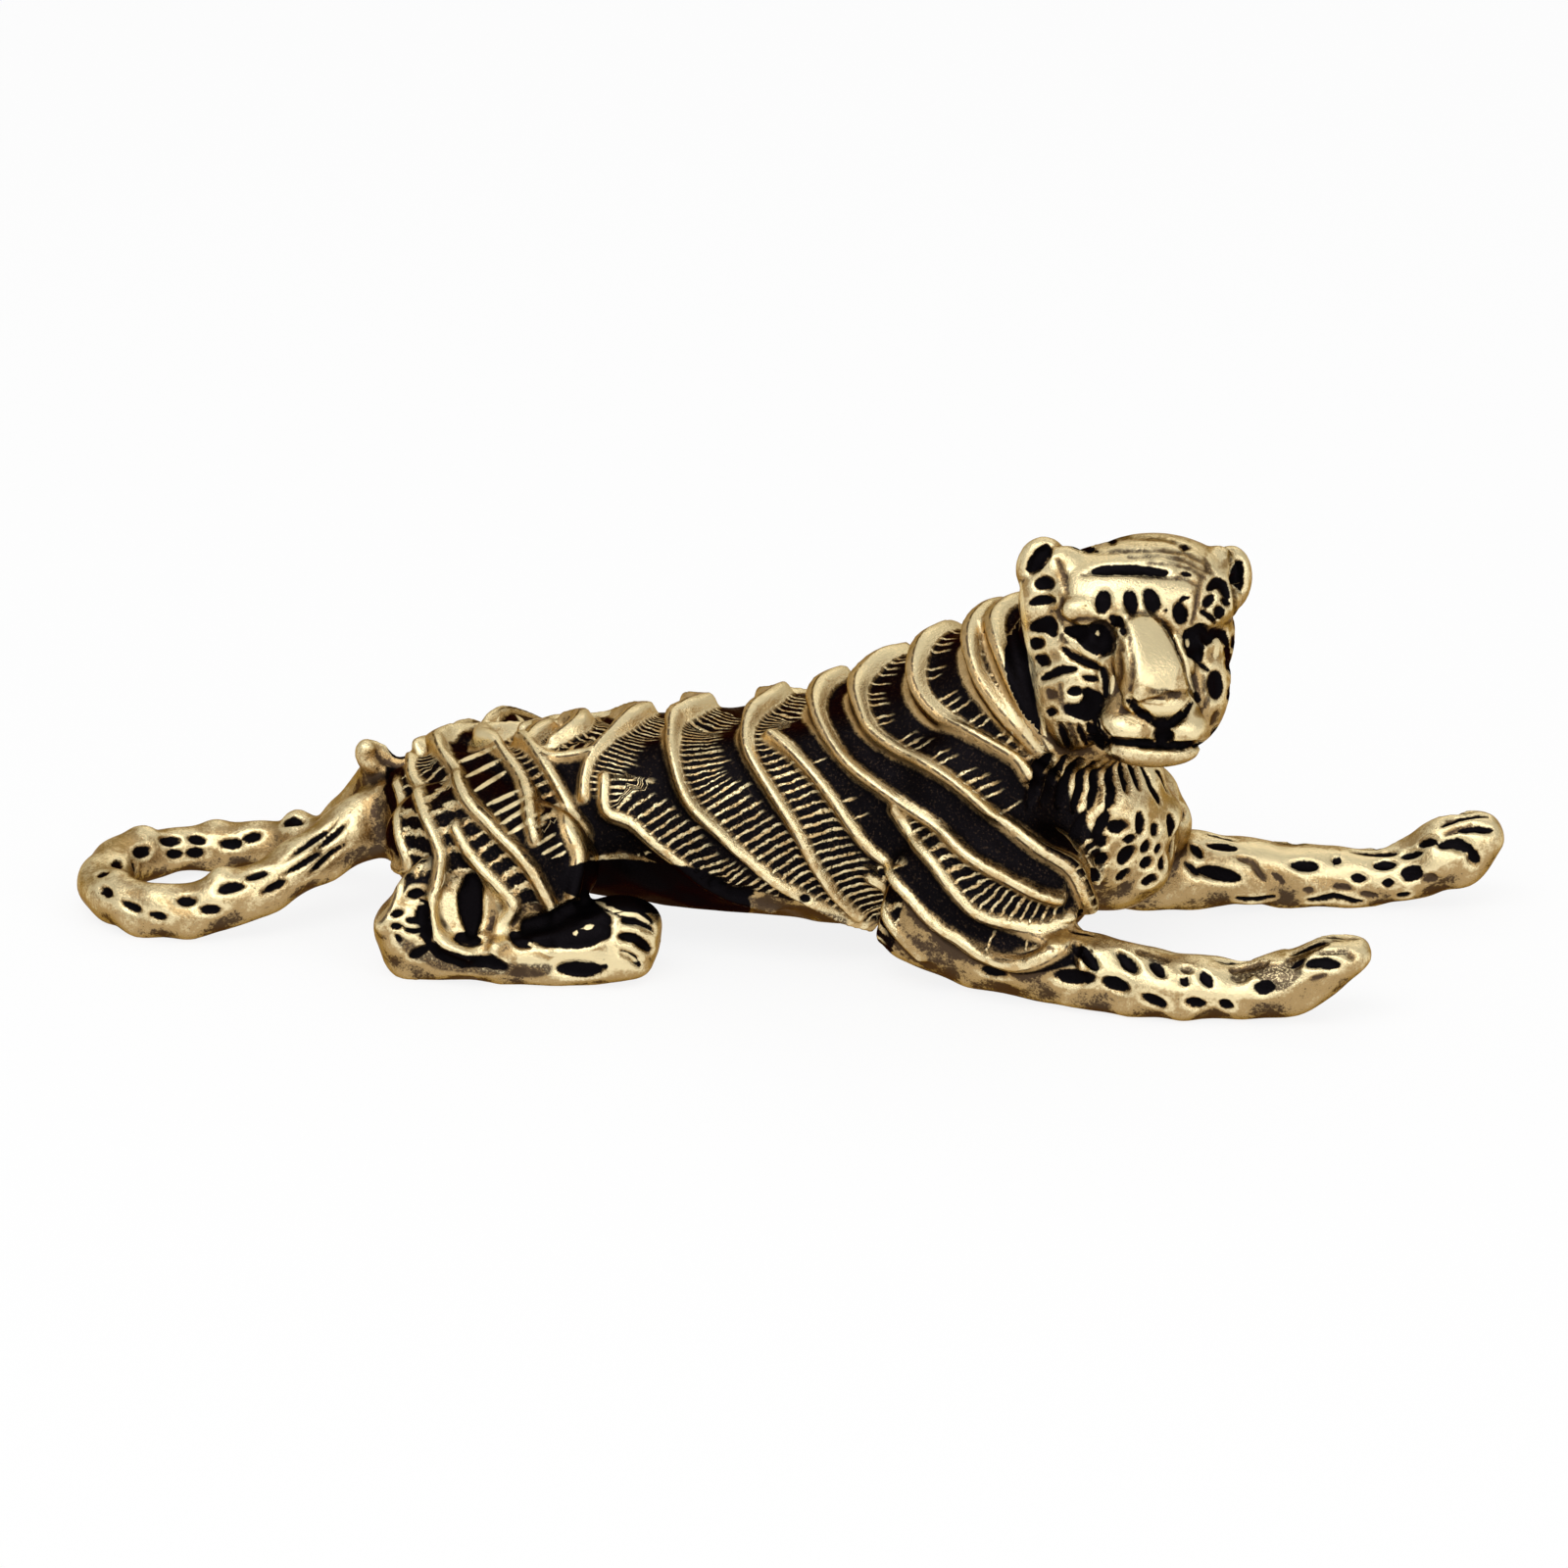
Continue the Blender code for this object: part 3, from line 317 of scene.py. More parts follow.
# Forelegs: along the body, degrees round the leg from its right side over its top.
nearLegMarks = (
    ("rubbed", 0.9, 0, (19.5, 42), (25, 42), (30, 30), (36.5, 30)),
    (20.8, 43, 1.09, 0.48, -35, 0.35),
    (23.4, 51, 0.86, 0.41, -40, 0.35),
    (25.3, 48, 0.69, 0.39, -48, 0.3),
    ("black", 0.41, 0.3, (26.9, 31), (27.1, 28)),
    ("black", 0.36, 0.3, (28.1, 47), (28.6, 28)),
    ("black", 0.46, 0.3, (31.5, 23), (32.4, 15)),
    ("brown", 0.55, 0.25, (30.0, 66), (30.9, 60), (31.8, 62)),
    ("brown", 0.60, 0.25, (31.6, 48), (32.8, 40), (34.0, 42)),
    ("brown", 0.50, 0.2, (32.0, 28), (33.0, 20), (33.9, 24)),
    ("brown", 0.40, 0.2, (33.4, 62), (34.6, 66), (35.6, 70)),
    ("brown", 0.36, 0.2, (30.0, 46), (30.8, 42)),
    ("brown", 0.40, 0.1, (24.0, 74), (25.8, 72)),
    ("brown", 0.30, 0.2, (26.8, 56), (27.3, 52)),
    (20.2, 8, 1.38, 0.48, 10, 0.3),
    (22.7, 8, 0.86, 0.44, -10, 0.3),
    (25.2, -9, 0.80, 0.39, -16, 0.3),
    ("black", 0.36, 0.3, (27.3, -5), (28.2, -7)),
    ("black", 0.36, 0.3, (29.4, -2), (29.9, -11)),
    (14.9, -15, 0.75, 0.34, 0, 0.25),
    ("black", 0.34, 0.3, (34.6, 35), (35.5, 26), (36.4, 10)),
    ("brown", 0.20, 0.2, (33.1, 56), (33.9, 64), (35.1, 71)),
    ("black", 0.23, 0.2, (33.6, 42), (34.3, 49)),
    ("brown", 0.18, 0.15, (34.8, 7), (35.7, 2)),
    ("brown", 0.18, 0.2, (35.2, 48), (36.8, 34), (37.4, 10)),
    ("brown", 0.18, 0.2, (34.8, 80), (36.4, 84)),
    ("brown", 0.18, 0.2, (34.8, 105), (36.4, 105)),
    ("brown", 0.18, 0.2, (34.8, 130), (36.4, 128)),
)
farLegMarks = (
    ("rubbed", 1.0, 0, (29, 60), (34, 48), (40, 30), (43.5, 20)),
    ("black", 0.18, 0.25, (40.3, 100), (42.6, 100)),
    ("black", 0.18, 0.25, (41.5, 66), (42.6, 76), (44.3, 74)),
    ("black", 0.21, 0.25, (42.6, 50), (43.7, 38), (44.6, 20)),
    ("black", 0.34, 0.3, (41.4, 37), (42.4, 29), (43.3, 1)),
    ("black", 0.29, 0.3, (43.3, -2), (43.8, -30)),
    ("black", 0.29, 0.25, (40.1, 57), (41.1, 45)),
    ("black", 0.25, 0.25, (39.0, 49), (40.2, 41)),
    ("black", 0.34, 0.3, (37.3, 40), (38.4, 35)),
    ("black", 0.53, 0.35, (39.2, 15), (40.1, 3)),
    ("brown", 0.34, 0.2, (40.4, -3), (41.1, -18)),
    ("black", 0.29, 0.25, (37.9, 5), (38.4, 3)),
    ("black", 0.22, 0.2, (38.8, -24), (39.5, -28)),
    ("black", 0.32, 0.25, (35.9, 18), (36.6, 16)),
    ("brown", 0.22, 0.2, (34.8, 0), (35.8, -2)),
    ("black", 0.41, 0.3, (34.7, 53), (34.9, 51)),
    ("black", 0.39, 0.3, (32.1, 36), (33.5, 35)),
    ("black", 0.25, 0.25, (35.8, 85), (37.3, 76), (38.5, 64)),
    ("black", 0.44, 0.35, (26.3, 19), (28.6, 10)),
    ("black", 0.22, 0.25, (25.4, 28), (26.1, 12)),
    ("black", 0.32, 0.25, (26.7, 62), (28.3, 57)),
    ("black", 0.29, 0.25, (25.7, 58), (26.2, 41)),
    ("black", 0.21, 0.2, (26.6, 90), (28.1, 83)),
    ("brown", 0.22, 0.2, (28.6, 40), (29.5, 35), (30.3, 10)),
    ("brown", 0.17, 0.15, (30.9, 18), (31.5, 6)),
    ("black", 0.22, 0.2, (28.6, -24), (30.9, -25)),
    ("black", 0.22, 0.2, (33.1, -25), (34.7, -16), (36.5, -28)),
    ("brown", 0.22, 0.2, (36.5, -10), (37.4, -19)),
    ("brown", 0.22, 0.2, (32.9, -5), (33.4, -5)),
)
# Hind foot and the belly beside it, as they are seen from a little above: to the right, up.
footMarks = (
    ("rubbed", 0.62, 0, (-5.3, 2.8), (-5.6, 1.3), (-5.2, 0.3)),
    ("rubbed", 0.40, 0, (-2.7, 4.2), (-2.0, 3.0), (-1.5, 1.5), (-1.8, 0.2)),
    ("rubbed", 0.43, 0, (-0.4, -1.1), (1.2, -1.5), (3.7, -1.1), (5.9, -1.1), (6.7, -1.4)),
    ("black", 0.25, 0.25, (-8.6, 1.7), (-8.0, 1.9)),
    ("black", 0.22, 0.25, (-8.6, 1.0), (-8.0, 1.0)),
    ("black", 0.20, 0.25, (-8.4, 0.4), (-8.1, 0.1)),
    ("black", 0.31, 0.3, (-7.5, 3.0), (-6.8, 3.1)),
    ("black", 0.22, 0.25, (-7.7, 1.4), (-6.8, 1.3)),
    ("black", 0.18, 0.25, (-7.8, 0.8), (-6.9, 0.6)),
    ("black", 0.49, 0.4, (-6.7, 2.4), (-6.6, 1.0), (-6.4, 0.2)),
    ("gold", 0.11, -0.1, (-7.8, 2.5), (-6.7, 2.4)),
    ("gold", 0.10, -0.1, (-7.7, 1.0), (-6.9, 1.0)),
    ("gold", 0.10, -0.1, (-7.7, 0.2), (-6.9, 0.5)),
    ("black", 0.74, 0.6, (-3.7, 3.9), (-3.7, 2.5), (-3.6, 0.9)),
    ("black", 0.37, 0.5, (-4.5, 0.4), (-3.2, 0.1)),
    ("black", 0.40, 0.35, (-6.3, -0.1), (-5.7, -0.7), (-4.2, -1.2), (-2.5, -1.2), (-1.5, -1.6)),
    ("black", 0.31, 0.3, (-7.4, -0.9), (-6.5, -0.4)),
    ("brown", 0.31, 0.1, (-1.3, -1.9), (-0.0, -1.9), (1.3, -1.8)),
    ("brown", 0.40, 0.05, (-8.2, 0.2), (-7.0, -0.8), (-5.3, -1.4), (-2.5, -1.7), (1.2, -1.6)),
    ("black", 1.05, 0.35, (-0.0, 0.9), (1.2, 0.7), (3.0, 0.6), (4.6, 0.7)),
    ("black", 0.74, 0.3, (1.8, 1.6), (3.3, 1.9), (4.8, 1.4)),
    ("black", 0.49, 0.3, (-1.0, 0.4), (-0.0, -0.1)),
    ("gold", 0.16, -0.1, (-0.0, -0.1), (1.2, -0.7), (3.0, -0.9), (4.8, -0.6), (6.1, -0.8), (6.7, -1.2)),
    # two painted glints in the black, on slightly raised bumps
    ("gold", 0.18, -0.05, (2.9, 0.7), (2.9, 0.5)),
    ("gold", 0.15, -0.05, (3.5, 0.9), (4.0, 1.0)),
    ("black", 0.25, 0.3, (5.9, 1.4), (7.0, 1.1), (7.7, 0.7)),
    ("black", 0.31, 0.35, (5.8, 0.4), (6.7, 0.2), (7.5, -0.5)),
    ("black", 0.18, 0.25, (5.8, -0.6), (6.5, -0.9), (6.9, -1.5)),
    ("gold", 0.18, -0.15, (5.6, 1.0), (6.7, 0.9), (7.6, 0.5), (7.8, -0.1)),
    ("gold", 0.16, -0.15, (5.5, -0.1), (6.4, -0.3), (7.0, -0.7), (7.2, -1.2)),
    ("gold", 0.14, -0.15, (5.8, 1.8), (6.7, 1.7), (7.5, 1.2)),
    ("gold", 0.12, -0.1, (4.2, 2.5), (5.0, 2.2), (5.8, 1.7)),
    (3.2, -1.7, 1.48, 0.49, 0, 0.35),
    (4.8, -1.5, 0.15, 0.15, 0, 0.1),
    # painted shade: a black band under the belly, and a brown one running on from it towards the forelegs
    ("black", 1.6, 0, (2.6, 3.9), (5.0, 3.7), (7.5, 3.4), (10.2, 3.1), (13.0, 2.2)),
    ("brown", 0.55, 0, (11.5, 2.8), (14.8, 2.0), (19.7, 1.2)),
    ("gold", 0.14, -0.1, (3.8, 5.2), (6.1, 5.4), (7.5, 5.6)),
    (11.7, 3.7, 0.49, 0.37, 0, 0.2),
    (13.3, 3.1, 0.80, 0.37, 0, 0.2),
    (17.3, 2.7, 0.37, 0.25, 0, 0.2),
)
# Polished top and rungs of the haunch, measured from the hind foot in the same way.
haunchMarks = (
    ("gold", 0.37, -0.05, (-5.3, 13.3), (-4.0, 13.2), (-2.6, 13.1)),
    ("gold", 0.31, -0.05, (-4.7, 12.8), (-3.5, 12.6), (-2.5, 12.9)),
    ("gold", 0.13, -0.1, (-4.7, 11.3), (-2.4, 12.3)),
    ("gold", 0.13, -0.1, (-4.1, 10.4), (-2.0, 11.5)),
    ("gold", 0.13, -0.1, (-3.5, 9.5), (-1.7, 10.7)),
    ("gold", 0.13, -0.1, (-2.7, 8.6), (-0.8, 9.5)),
    ("gold", 0.13, -0.1, (-2.2, 8.0), (-0.4, 9.0)),
    ("gold", 0.13, -0.1, (-1.8, 7.4), (-0.1, 8.5)),
    ("gold", 0.13, -0.1, (-1.3, 6.8), (0.2, 7.7)),
    ("gold", 0.10, -0.1, (0.5, 6.1), (1.6, 6.8)),
    ("gold", 0.10, -0.1, (0.8, 5.5), (2.0, 6.2)),
    ("gold", 0.10, -0.1, (1.2, 5.0), (2.3, 5.7)),
    ("gold", 0.10, -0.1, (1.6, 4.4), (2.8, 5.2)),
    ("gold", 0.10, -0.1, (2.0, 3.9), (3.3, 4.7)),
    ("gold", 0.10, -0.1, (2.4, 3.3), (3.5, 4.1)),
    ("gold", 0.10, -0.1, (-0.2, 7.7), (0.7, 8.1)),
    ("gold", 0.10, -0.1, (0.0, 7.1), (0.9, 7.4)),
)
# Tail: distance along it from the rump, degrees round it from its right side over its top, then
# half length, half width and lean.
tailSpots = (
    (29.4, 38, 0.99, 0.42, -2),
    (32.6, 44, 0.88, 0.37, -5),
    (32.8, 12, 0.77, 0.32, -7),
    (34.7, 40, 0.66, 0.33, -13),
    (34.5, 8, 0.77, 0.33, -5),
    (37.3, 25, 0.88, 0.35, 0),
    (38.8, 43, 0.66, 0.34, 11),
    (42.4, 60, 0.99, 0.33, -4),
    (27.0, 20, 0.66, 0.33, 0),
    (25.0, 62, 0.99, 0.35, -3),
    (22.8, 110, 0.66, 0.33, 10),
    (21.2, 140, 0.55, 0.31, -10),
    (19.4, 157, 0.55, 0.26, -20),
    (16.3, 135, 0.55, 0.35, -9),
    (13.6, 136, 0.88, 0.37, -4),
    (15.1, 168, 0.55, 0.29, -15),
    (17.9, 172, 0.44, 0.25, -9),
    (11.7, 127, 0.77, 0.29, -2),
    (11.1, 166, 0.77, 0.26, 2),
    (8.7, 150, 1.43, 0.21, 0),
    (7.4, 119, 1.65, 0.22, 5),
    (6.2, 135, 1.21, 0.19, 8),
    (7.3, 168, 1.43, 0.20, 7),
)


def smoothRows(rows, steps):
    # a smooth run through the rows, each row a place with its sizes
    rows = np.array(rows, float)
    padded = np.vstack([2 * rows[0] - rows[1], rows, 2 * rows[-1] - rows[-2]])
    found = []
    for i in range(len(rows) - 1):
        a, b, c, d = padded[i : i + 4]
        for k in range(steps):
            t = k / steps
            cube = (3 * b - a - 3 * c + d) * t**3
            found.append(0.5 * (2 * b + (c - a) * t + (2 * a - 5 * b + 4 * c - d) * t**2 + cube))
    found.append(rows[-1])
    return np.array(found)


def ease(value):
    value = np.clip(value, 0, 1)
    return value * value * (3 - 2 * value)


def addLoft(clay, stations, steps=5, sides=28, square=1.0):
    # a closed tube through stations of x, y, z, half width and half height
    rows = smoothRows(stations, steps)
    tangents = np.gradient(rows[:, :3], axis=0)
    rings = []
    for row, tangent in zip(rows, tangents):
        along = Vector(tangent).normalized()
        side = along.cross(Vector((0, 0, 1))).normalized()
        over = side.cross(along)
        ring = []
        for k in range(sides):
            angle = math.tau * k / sides
            right = math.copysign(abs(math.cos(angle)) ** square, math.cos(angle))
            high = math.copysign(abs(math.sin(angle)) ** square, math.sin(angle))
            point = Vector(row[:3]) + side * (row[3] * right) + over * (row[4] * high)
            ring.append(clay.verts.new(point * mm))
        rings.append(ring)
    for first, second in zip(rings, rings[1:]):
        for k in range(sides):
            n = (k + 1) % sides
            clay.faces.new((first[k], first[n], second[n], second[k]))
    clay.faces.new(list(reversed(rings[0])))
    clay.faces.new(rings[-1])


def addBlob(clay, centre, radii, turn=None):
    # an ellipsoid, made apart and then brought in, which is quick
    turn = turn.to_4x4() if turn else Matrix.Identity(4)
    size = Matrix.Diagonal((radii[0] * mm, radii[1] * mm, radii[2] * mm, 1))
    place = Matrix.Translation(Vector(centre) * mm) @ turn @ size
    ball = bmesh.new()
    bmesh.ops.create_uvsphere(ball, u_segments=32, v_segments=20, radius=1, matrix=place)
    mesh = bpy.data.meshes.new("ball")
    ball.to_mesh(mesh)
    ball.free()
    clay.from_mesh(mesh)
    bpy.data.meshes.remove(mesh)


def bakedMesh(obj):
    # the evaluated mesh; the object is dropped
    bpy.context.view_layer.update()
    graph = bpy.context.evaluated_depsgraph_get()
    mesh = bpy.data.meshes.new_from_object(obj.evaluated_get(graph))
    bpy.data.objects.remove(obj)
    return mesh


def fused(name, clay, cell, softening):
    mesh = bpy.data.meshes.new(name)
    bmesh.ops.recalc_face_normals(clay, faces=clay.faces)
    clay.to_mesh(mesh)
    clay.free()
    obj = bpy.data.objects.new(name, mesh)
    bpy.context.scene.collection.objects.link(obj)
    remesh = obj.modifiers.new("fuse", "REMESH")
    remesh.mode = "VOXEL"
    remesh.voxel_size = cell * mm
    smooth = obj.modifiers.new("soften", "SMOOTH")
    smooth.factor = 0.5
    smooth.iterations = softening
    return bakedMesh(obj)


def trunkClay(clay):
    # from the rump to the chest, then the neck up to the head
    addLoft(
        clay,
        [
            (-25.8, 0, 6.2, 2.6, 2.8),
            (-24.4, 0, 6.4, 4.8, 3.8),
            (-21.5, 0, 7.0, 6.4, 4.8),
            (-16.8, 0, 7.4, 6.8, 4.9),
            (-12.0, 0, 7.8, 6.6, 5.7),
            (-7.0, 0, 8.0, 7.1, 6.4),
            (0.0, 0, 8.3, 7.8, 7.2),
            (5.0, 0, 8.9, 8.2, 8.2),
            (10.0, 0, 9.6, 8.5, 9.0),
            (15.0, 0, 9.4, 8.1, 8.0),
            (19.5, 0, 8.4, 7.0, 6.6),
            (22.5, 0, 7.0, 5.6, 4.8),
            (24.9, 0, 6.4, 2.8, 2.8),
        ],
    )
    addLoft(
        clay,
        [
            (7.0, 0, 11.8, 6.3, 5.9),
            (12.0, -0.4, 14.2, 6.3, 6.4),
            (16.0, -1.4, 16.8, 6.3, 6.3),
            (19.3, -2.7, 18.6, 5.8, 5.9),
            (21.8, -3.5, 19.4, 5.0, 5.1),
        ],
    )


def forelegRows(track, reach, lift):
    # from the elbow to the toes: place along the body, height, half width, half height
    rows = (
        (7.5, 3.9, 1.2, 1.4),
        (8.4, 3.6, 2.0, 2.25),
        (11.6, 2.9, 2.5, 2.6),
        (16.0, 2.6, 2.7, 2.6),
        (20.5, 2.3, 2.5, 2.4),
        (25.5, 1.9, 2.3, 2.05),
        (29.8, 1.65, 2.2, 1.8),
        (32.8, 2.1 + 0.2 * lift, 2.3, 1.95),
        (35.0, 3.1 + 0.3 * lift, 2.4, 1.8 + 0.7 * lift),
        (37.0, 4.0 + 0.55 * lift, 2.0, 1.3 + 0.65 * lift),
        (38.1, 4.6 + 0.5 * lift, 1.0, 0.6 + 0.45 * lift),
    )
    return [(x + reach, y, z, w, h) for (x, z, w, h), y in zip(rows, track)]


def forelegClay(clay, track, reach, lift):
    out = math.copysign(1, track[0])
    addBlob(clay, (13.0 + 0.35 * reach, 5.8 * out, 10.6), (5.6, 4.2, 6.2))  # shoulder
    addBlob(clay, (14.2 + 0.7 * reach, track[3] - 1.7 * out, 6.4), (6.6, 3.8, 5.2))  # upper arm
    addBlob(clay, (12.2 + 0.9 * reach, track[2] - 0.2 * out, 4.6), (4.8, 3.0, 3.8))  # elbow
    addLoft(clay, forelegRows(track, reach, lift), square=0.9)


def hindLegClay(clay, out):
    footY = 11.7 * out
    addBlob(clay, (-18.6, 5.9 * out, 6.7), (6.2, 5.0, 4.6))  # haunch
    addBlob(clay, (-15.6, 7.6 * out, 6.0), (4.8, 4.2, 4.4))  # knee
    addLoft(
        clay,
        [
            (-11.9, footY - 2.6 * out, 4.9, 1.6, 2.0),
            (-14.5, footY - 2.2 * out, 4.4, 2.2, 2.6),
            (-18.5, footY - 1.4 * out, 4.0, 2.4, 2.8),
            (-21.8, footY - 1.2 * out, 4.2, 2.7, 3.5),
            (-23.0, footY - 1.6 * out, 4.6, 1.6, 2.2),
        ],
    )
    addBlob(clay, (-21.8, footY, 2.6), (2.8, 2.7, 3.0))  # heel
    addLoft(
        clay,
        [
            (-22.8, footY, 1.9, 2.2, 1.9),
            (-18.0, footY, 1.6, 2.7, 1.9),
            (-14.0, footY - 0.3 * out, 1.7, 2.5, 2.0),
            (-11.2, footY - 0.8 * out, 2.1, 2.8, 2.4),
            (-9.0, footY - 1.2 * out, 2.6, 2.8, 2.6),
            (-7.2, footY - 1.4 * out, 2.6, 2.3, 2.2),
            (-6.4, footY - 1.4 * out, 2.6, 1.3, 1.3),
        ],
        square=0.8,
    )


tailRows = (
    (-23.8, 0.0, 6.6, 2.4, 2.8),
    (-27.0, -0.6, 5.8, 2.2, 2.3),
    (-29.6, -2.4, 4.5, 1.9, 1.8),
    (-33.0, -5.0, 2.9, 1.85, 1.85),
    (-37.2, -6.9, 1.8, 1.8, 1.8),
    (-41.0, -6.5, 1.6, 1.75, 1.75),
    (-43.5, -3.6, 1.6, 1.75, 1.75),
    (-43.9, 0.4, 1.6, 1.75, 1.75),
    (-42.0, 3.8, 1.6, 1.65, 1.65),
    (-38.2, 5.4, 1.7, 1.6, 1.6),
    (-33.8, 5.4, 2.0, 1.6, 1.6),
    (-30.4, 4.2, 3.4, 1.55, 1.55),
    (-28.2, 2.8, 6.0, 1.4, 1.4),
    (-26.8, 1.4, 9.0, 1.15, 1.15),
)


def tailLumpTree():
    # lumps strung along the tail's line, their size varied by a fixed seed
    tree = bpy.data.node_groups.new("tailLumps", "GeometryNodeTree")
    tree.interface.new_socket("Geometry", in_out="INPUT", socket_type="NodeSocketGeometry")
    for name, kind in (("Lump Size", "Float"), ("Seed", "Int"), ("Material", "Material")):
        tree.interface.new_socket(name, in_out="INPUT", socket_type="NodeSocket" + kind)
    tree.interface.new_socket("Geometry", in_out="OUTPUT", socket_type="NodeSocketGeometry")
    into = tree.nodes.new("NodeGroupInput")
    out = tree.nodes.new("NodeGroupOutput")
    ball = tree.nodes.new("GeometryNodeMeshUVSphere")
    ball.inputs["Segments"].default_value = 20
    ball.inputs["Rings"].default_value = 12
    spread = tree.nodes.new("FunctionNodeRandomValue")
    spread.inputs[2].default_value = 0.92
    spread.inputs[3].default_value = 1.05
    place = tree.nodes.new("GeometryNodeInstanceOnPoints")
    real = tree.nodes.new("GeometryNodeRealizeInstances")
    finish = tree.nodes.new("GeometryNodeSetMaterial")
    tree.links.new(into.outputs["Geometry"], place.inputs["Points"])
    tree.links.new(into.outputs["Lump Size"], ball.inputs["Radius"])
    tree.links.new(into.outputs["Seed"], spread.inputs["Seed"])
    tree.links.new(ball.outputs["Mesh"], place.inputs["Instance"])
    tree.links.new(spread.outputs[1], place.inputs["Scale"])
    tree.links.new(place.outputs["Instances"], real.inputs["Geometry"])
    tree.links.new(real.outputs["Geometry"], finish.inputs["Geometry"])
    tree.links.new(into.outputs["Material"], finish.inputs["Material"])
    tree.links.new(finish.outputs["Geometry"], out.inputs["Geometry"])
    return tree


def tailClay(clay, brass):
    path = smoothRows(tailRows, 10)
    addLoft(clay, tailRows, sides=20)
    strung = bpy.data.meshes.new("tailLumps")
    places = []
    # the lumps sit at these shares of the tail's length
    for share in (0.27, 0.42, 0.60, 0.69, 0.79):
        x, y, z, halfWidth, halfHeight = path[round(share * (len(path) - 1))]
        places.append(Vector((x, y, z + halfHeight * 0.5)) * mm)
    strung.from_pydata(places, [], [])
    lumps = bpy.data.objects.new("tailLumps", strung)
    bpy.context.scene.collection.objects.link(lumps)
    tree = tailLumpTree()
    nodes = lumps.modifiers.new("lumps", "NODES")
    nodes.node_group = tree
    sockets = {item.name: item.identifier for item in tree.interface.items_tree if item.in_out == "INPUT"}
    nodes[sockets["Lump Size"]] = tigerLook["lumpSize"] * mm
    nodes[sockets["Seed"]] = tigerLook["lumpSeed"]
    nodes[sockets["Material"]] = brass
    clay.from_mesh(bakedMesh(lumps))
    x, y, z = path[-1][:3]
    addBlob(clay, (x + 0.1, y - 0.6, z + 1.2), [1.4] * 3)  # the tip's knob, against the rump


def headClay(clay):
    # built in the head's own axes: right as seen from its front, out of its front, up
    centre = Vector(tigerLook["headCentre"])

    def blob(right, front, up, radii):
        addBlob(clay, centre + headTurn @ Vector((right, -front, up)), radii, headTurn)

    blob(0, -0.8, 1.4, (6.9, 5.6, 6.0))  # skull
    blob(0.3, 0.7, 4.6, (6.4, 4.2, 3.1))  # forehead
    blob(1.2, 0.4, 5.0, (5.2, 4.0, 3.25))  # crown
    blob(0, 2.6, -3.0, (3.6, 3.4, 2.2))  # jaw
    blob(0.2, 4.2, -1.6, (3.3, 3.2, 2.8))  # muzzle
    blob(0.4, 5.4, -4.0, (3.1, 1.9, 1.1))  # chin
    bridge = []
    for right, front, up, halfWidth, halfHeight in (
        (-1.4, 3.6, 4.3, 1.2, 1.1),
        (-1.1, 5.4, 3.0, 1.7, 1.5),
        (-0.6, 6.9, 1.3, 2.0, 1.6),
        (-0.2, 7.7, 0.0, 2.1, 1.1),
    ):
        bridge.append((*(centre + headTurn @ Vector((right, -front, up))), halfWidth, halfHeight))
    addLoft(clay, bridge, square=0.55)
    blob(-0.1, 7.1, -0.4, (2.3, 1.2, 1.0))  # tip of the nose
    for side in (-1, 1):
        blob(3.5 * side, 0.2, -1.2, (3.0, 4.4, 4.4))  # cheek
        blob(0.2 + 1.75 * side, 5.7, -2.35, (1.75, 1.9, 1.2))  # upper lip
        blob(3.0 * side - 0.3, 3.3, 4.3, (2.4, 1.2, 1.1))  # brow
        blob(1.9 * side - 0.2, 4.2, 0.9, (1.3, 1.5, 2.3))  # beside the bridge
        blob(3.2 * side - 0.2, 3.3, 2.3, [1.1] * 3)  # eye
    blob(-5.8, -1.0, 5.7, (1.7, 1.3, 2.0))  # right ear
    blob(-4.7, 0.3, 5.8, (1.8, 1.4, 1.7))
    blob(-5.6, -0.3, 3.8, (1.7, 1.8, 2.5))
    blob(6.3, -0.8, 5.1, (1.5, 1.3, 2.2))  # left ear
    blob(5.0, 0.6, 6.6, [1.1] * 3)


def meshArrays(mesh):
    count = len(mesh.vertices)
    points = np.empty(count * 3)
    normals = np.empty(count * 3)
    mesh.vertices.foreach_get("co", points)
    mesh.vertices.foreach_get("normal", normals)
    return points.reshape(-1, 3) / mm, normals.reshape(-1, 3)


def setPoints(mesh, points):
    mesh.vertices.foreach_set("co", (points * mm).ravel())
    mesh.update()


def followRidge(path, along, down, reach):
    # for each point: distance to the ridge, in front of it or not, how far along it, beyond its ends or not
    closest = np.full(len(along), 1e3)
    ahead = np.zeros(len(along))
    passed = np.zeros(len(along))
    past = np.zeros(len(along), bool)
    travelled = 0.0
    for step, (start, end) in enumerate(zip(path, path[1:])):
        fromX = along - start[0]
        fromDown = np.radians(down - start[1]) * reach
        stepX = end[0] - start[0]
        stepDown = math.radians(end[1] - start[1]) * reach
        reached = (fromX * stepX + fromDown * stepDown) / (stepX**2 + stepDown**2)
        share = np.clip(reached, 0, 1)
        outside = (reached < 0) if step == 0 else (reached > 1) & (step == len(path) - 2)
        lower = fromDown - share * stepDown
        gap = np.hypot(fromX - share * stepX, lower)
        nearer = gap < closest
        length = math.hypot(stepX, math.radians(end[1] - start[1]) * tigerLook["flankReach"])
        passed = np.where(nearer, travelled + share * length + lower * tigerLook["hairSlant"], passed)
        past = np.where(nearer, outside, past)
        closest = np.where(nearer, gap, closest)
        ahead = np.where(nearer, fromX * stepDown - fromDown * stepX, ahead)
        travelled += length
    return closest, ahead, passed, past


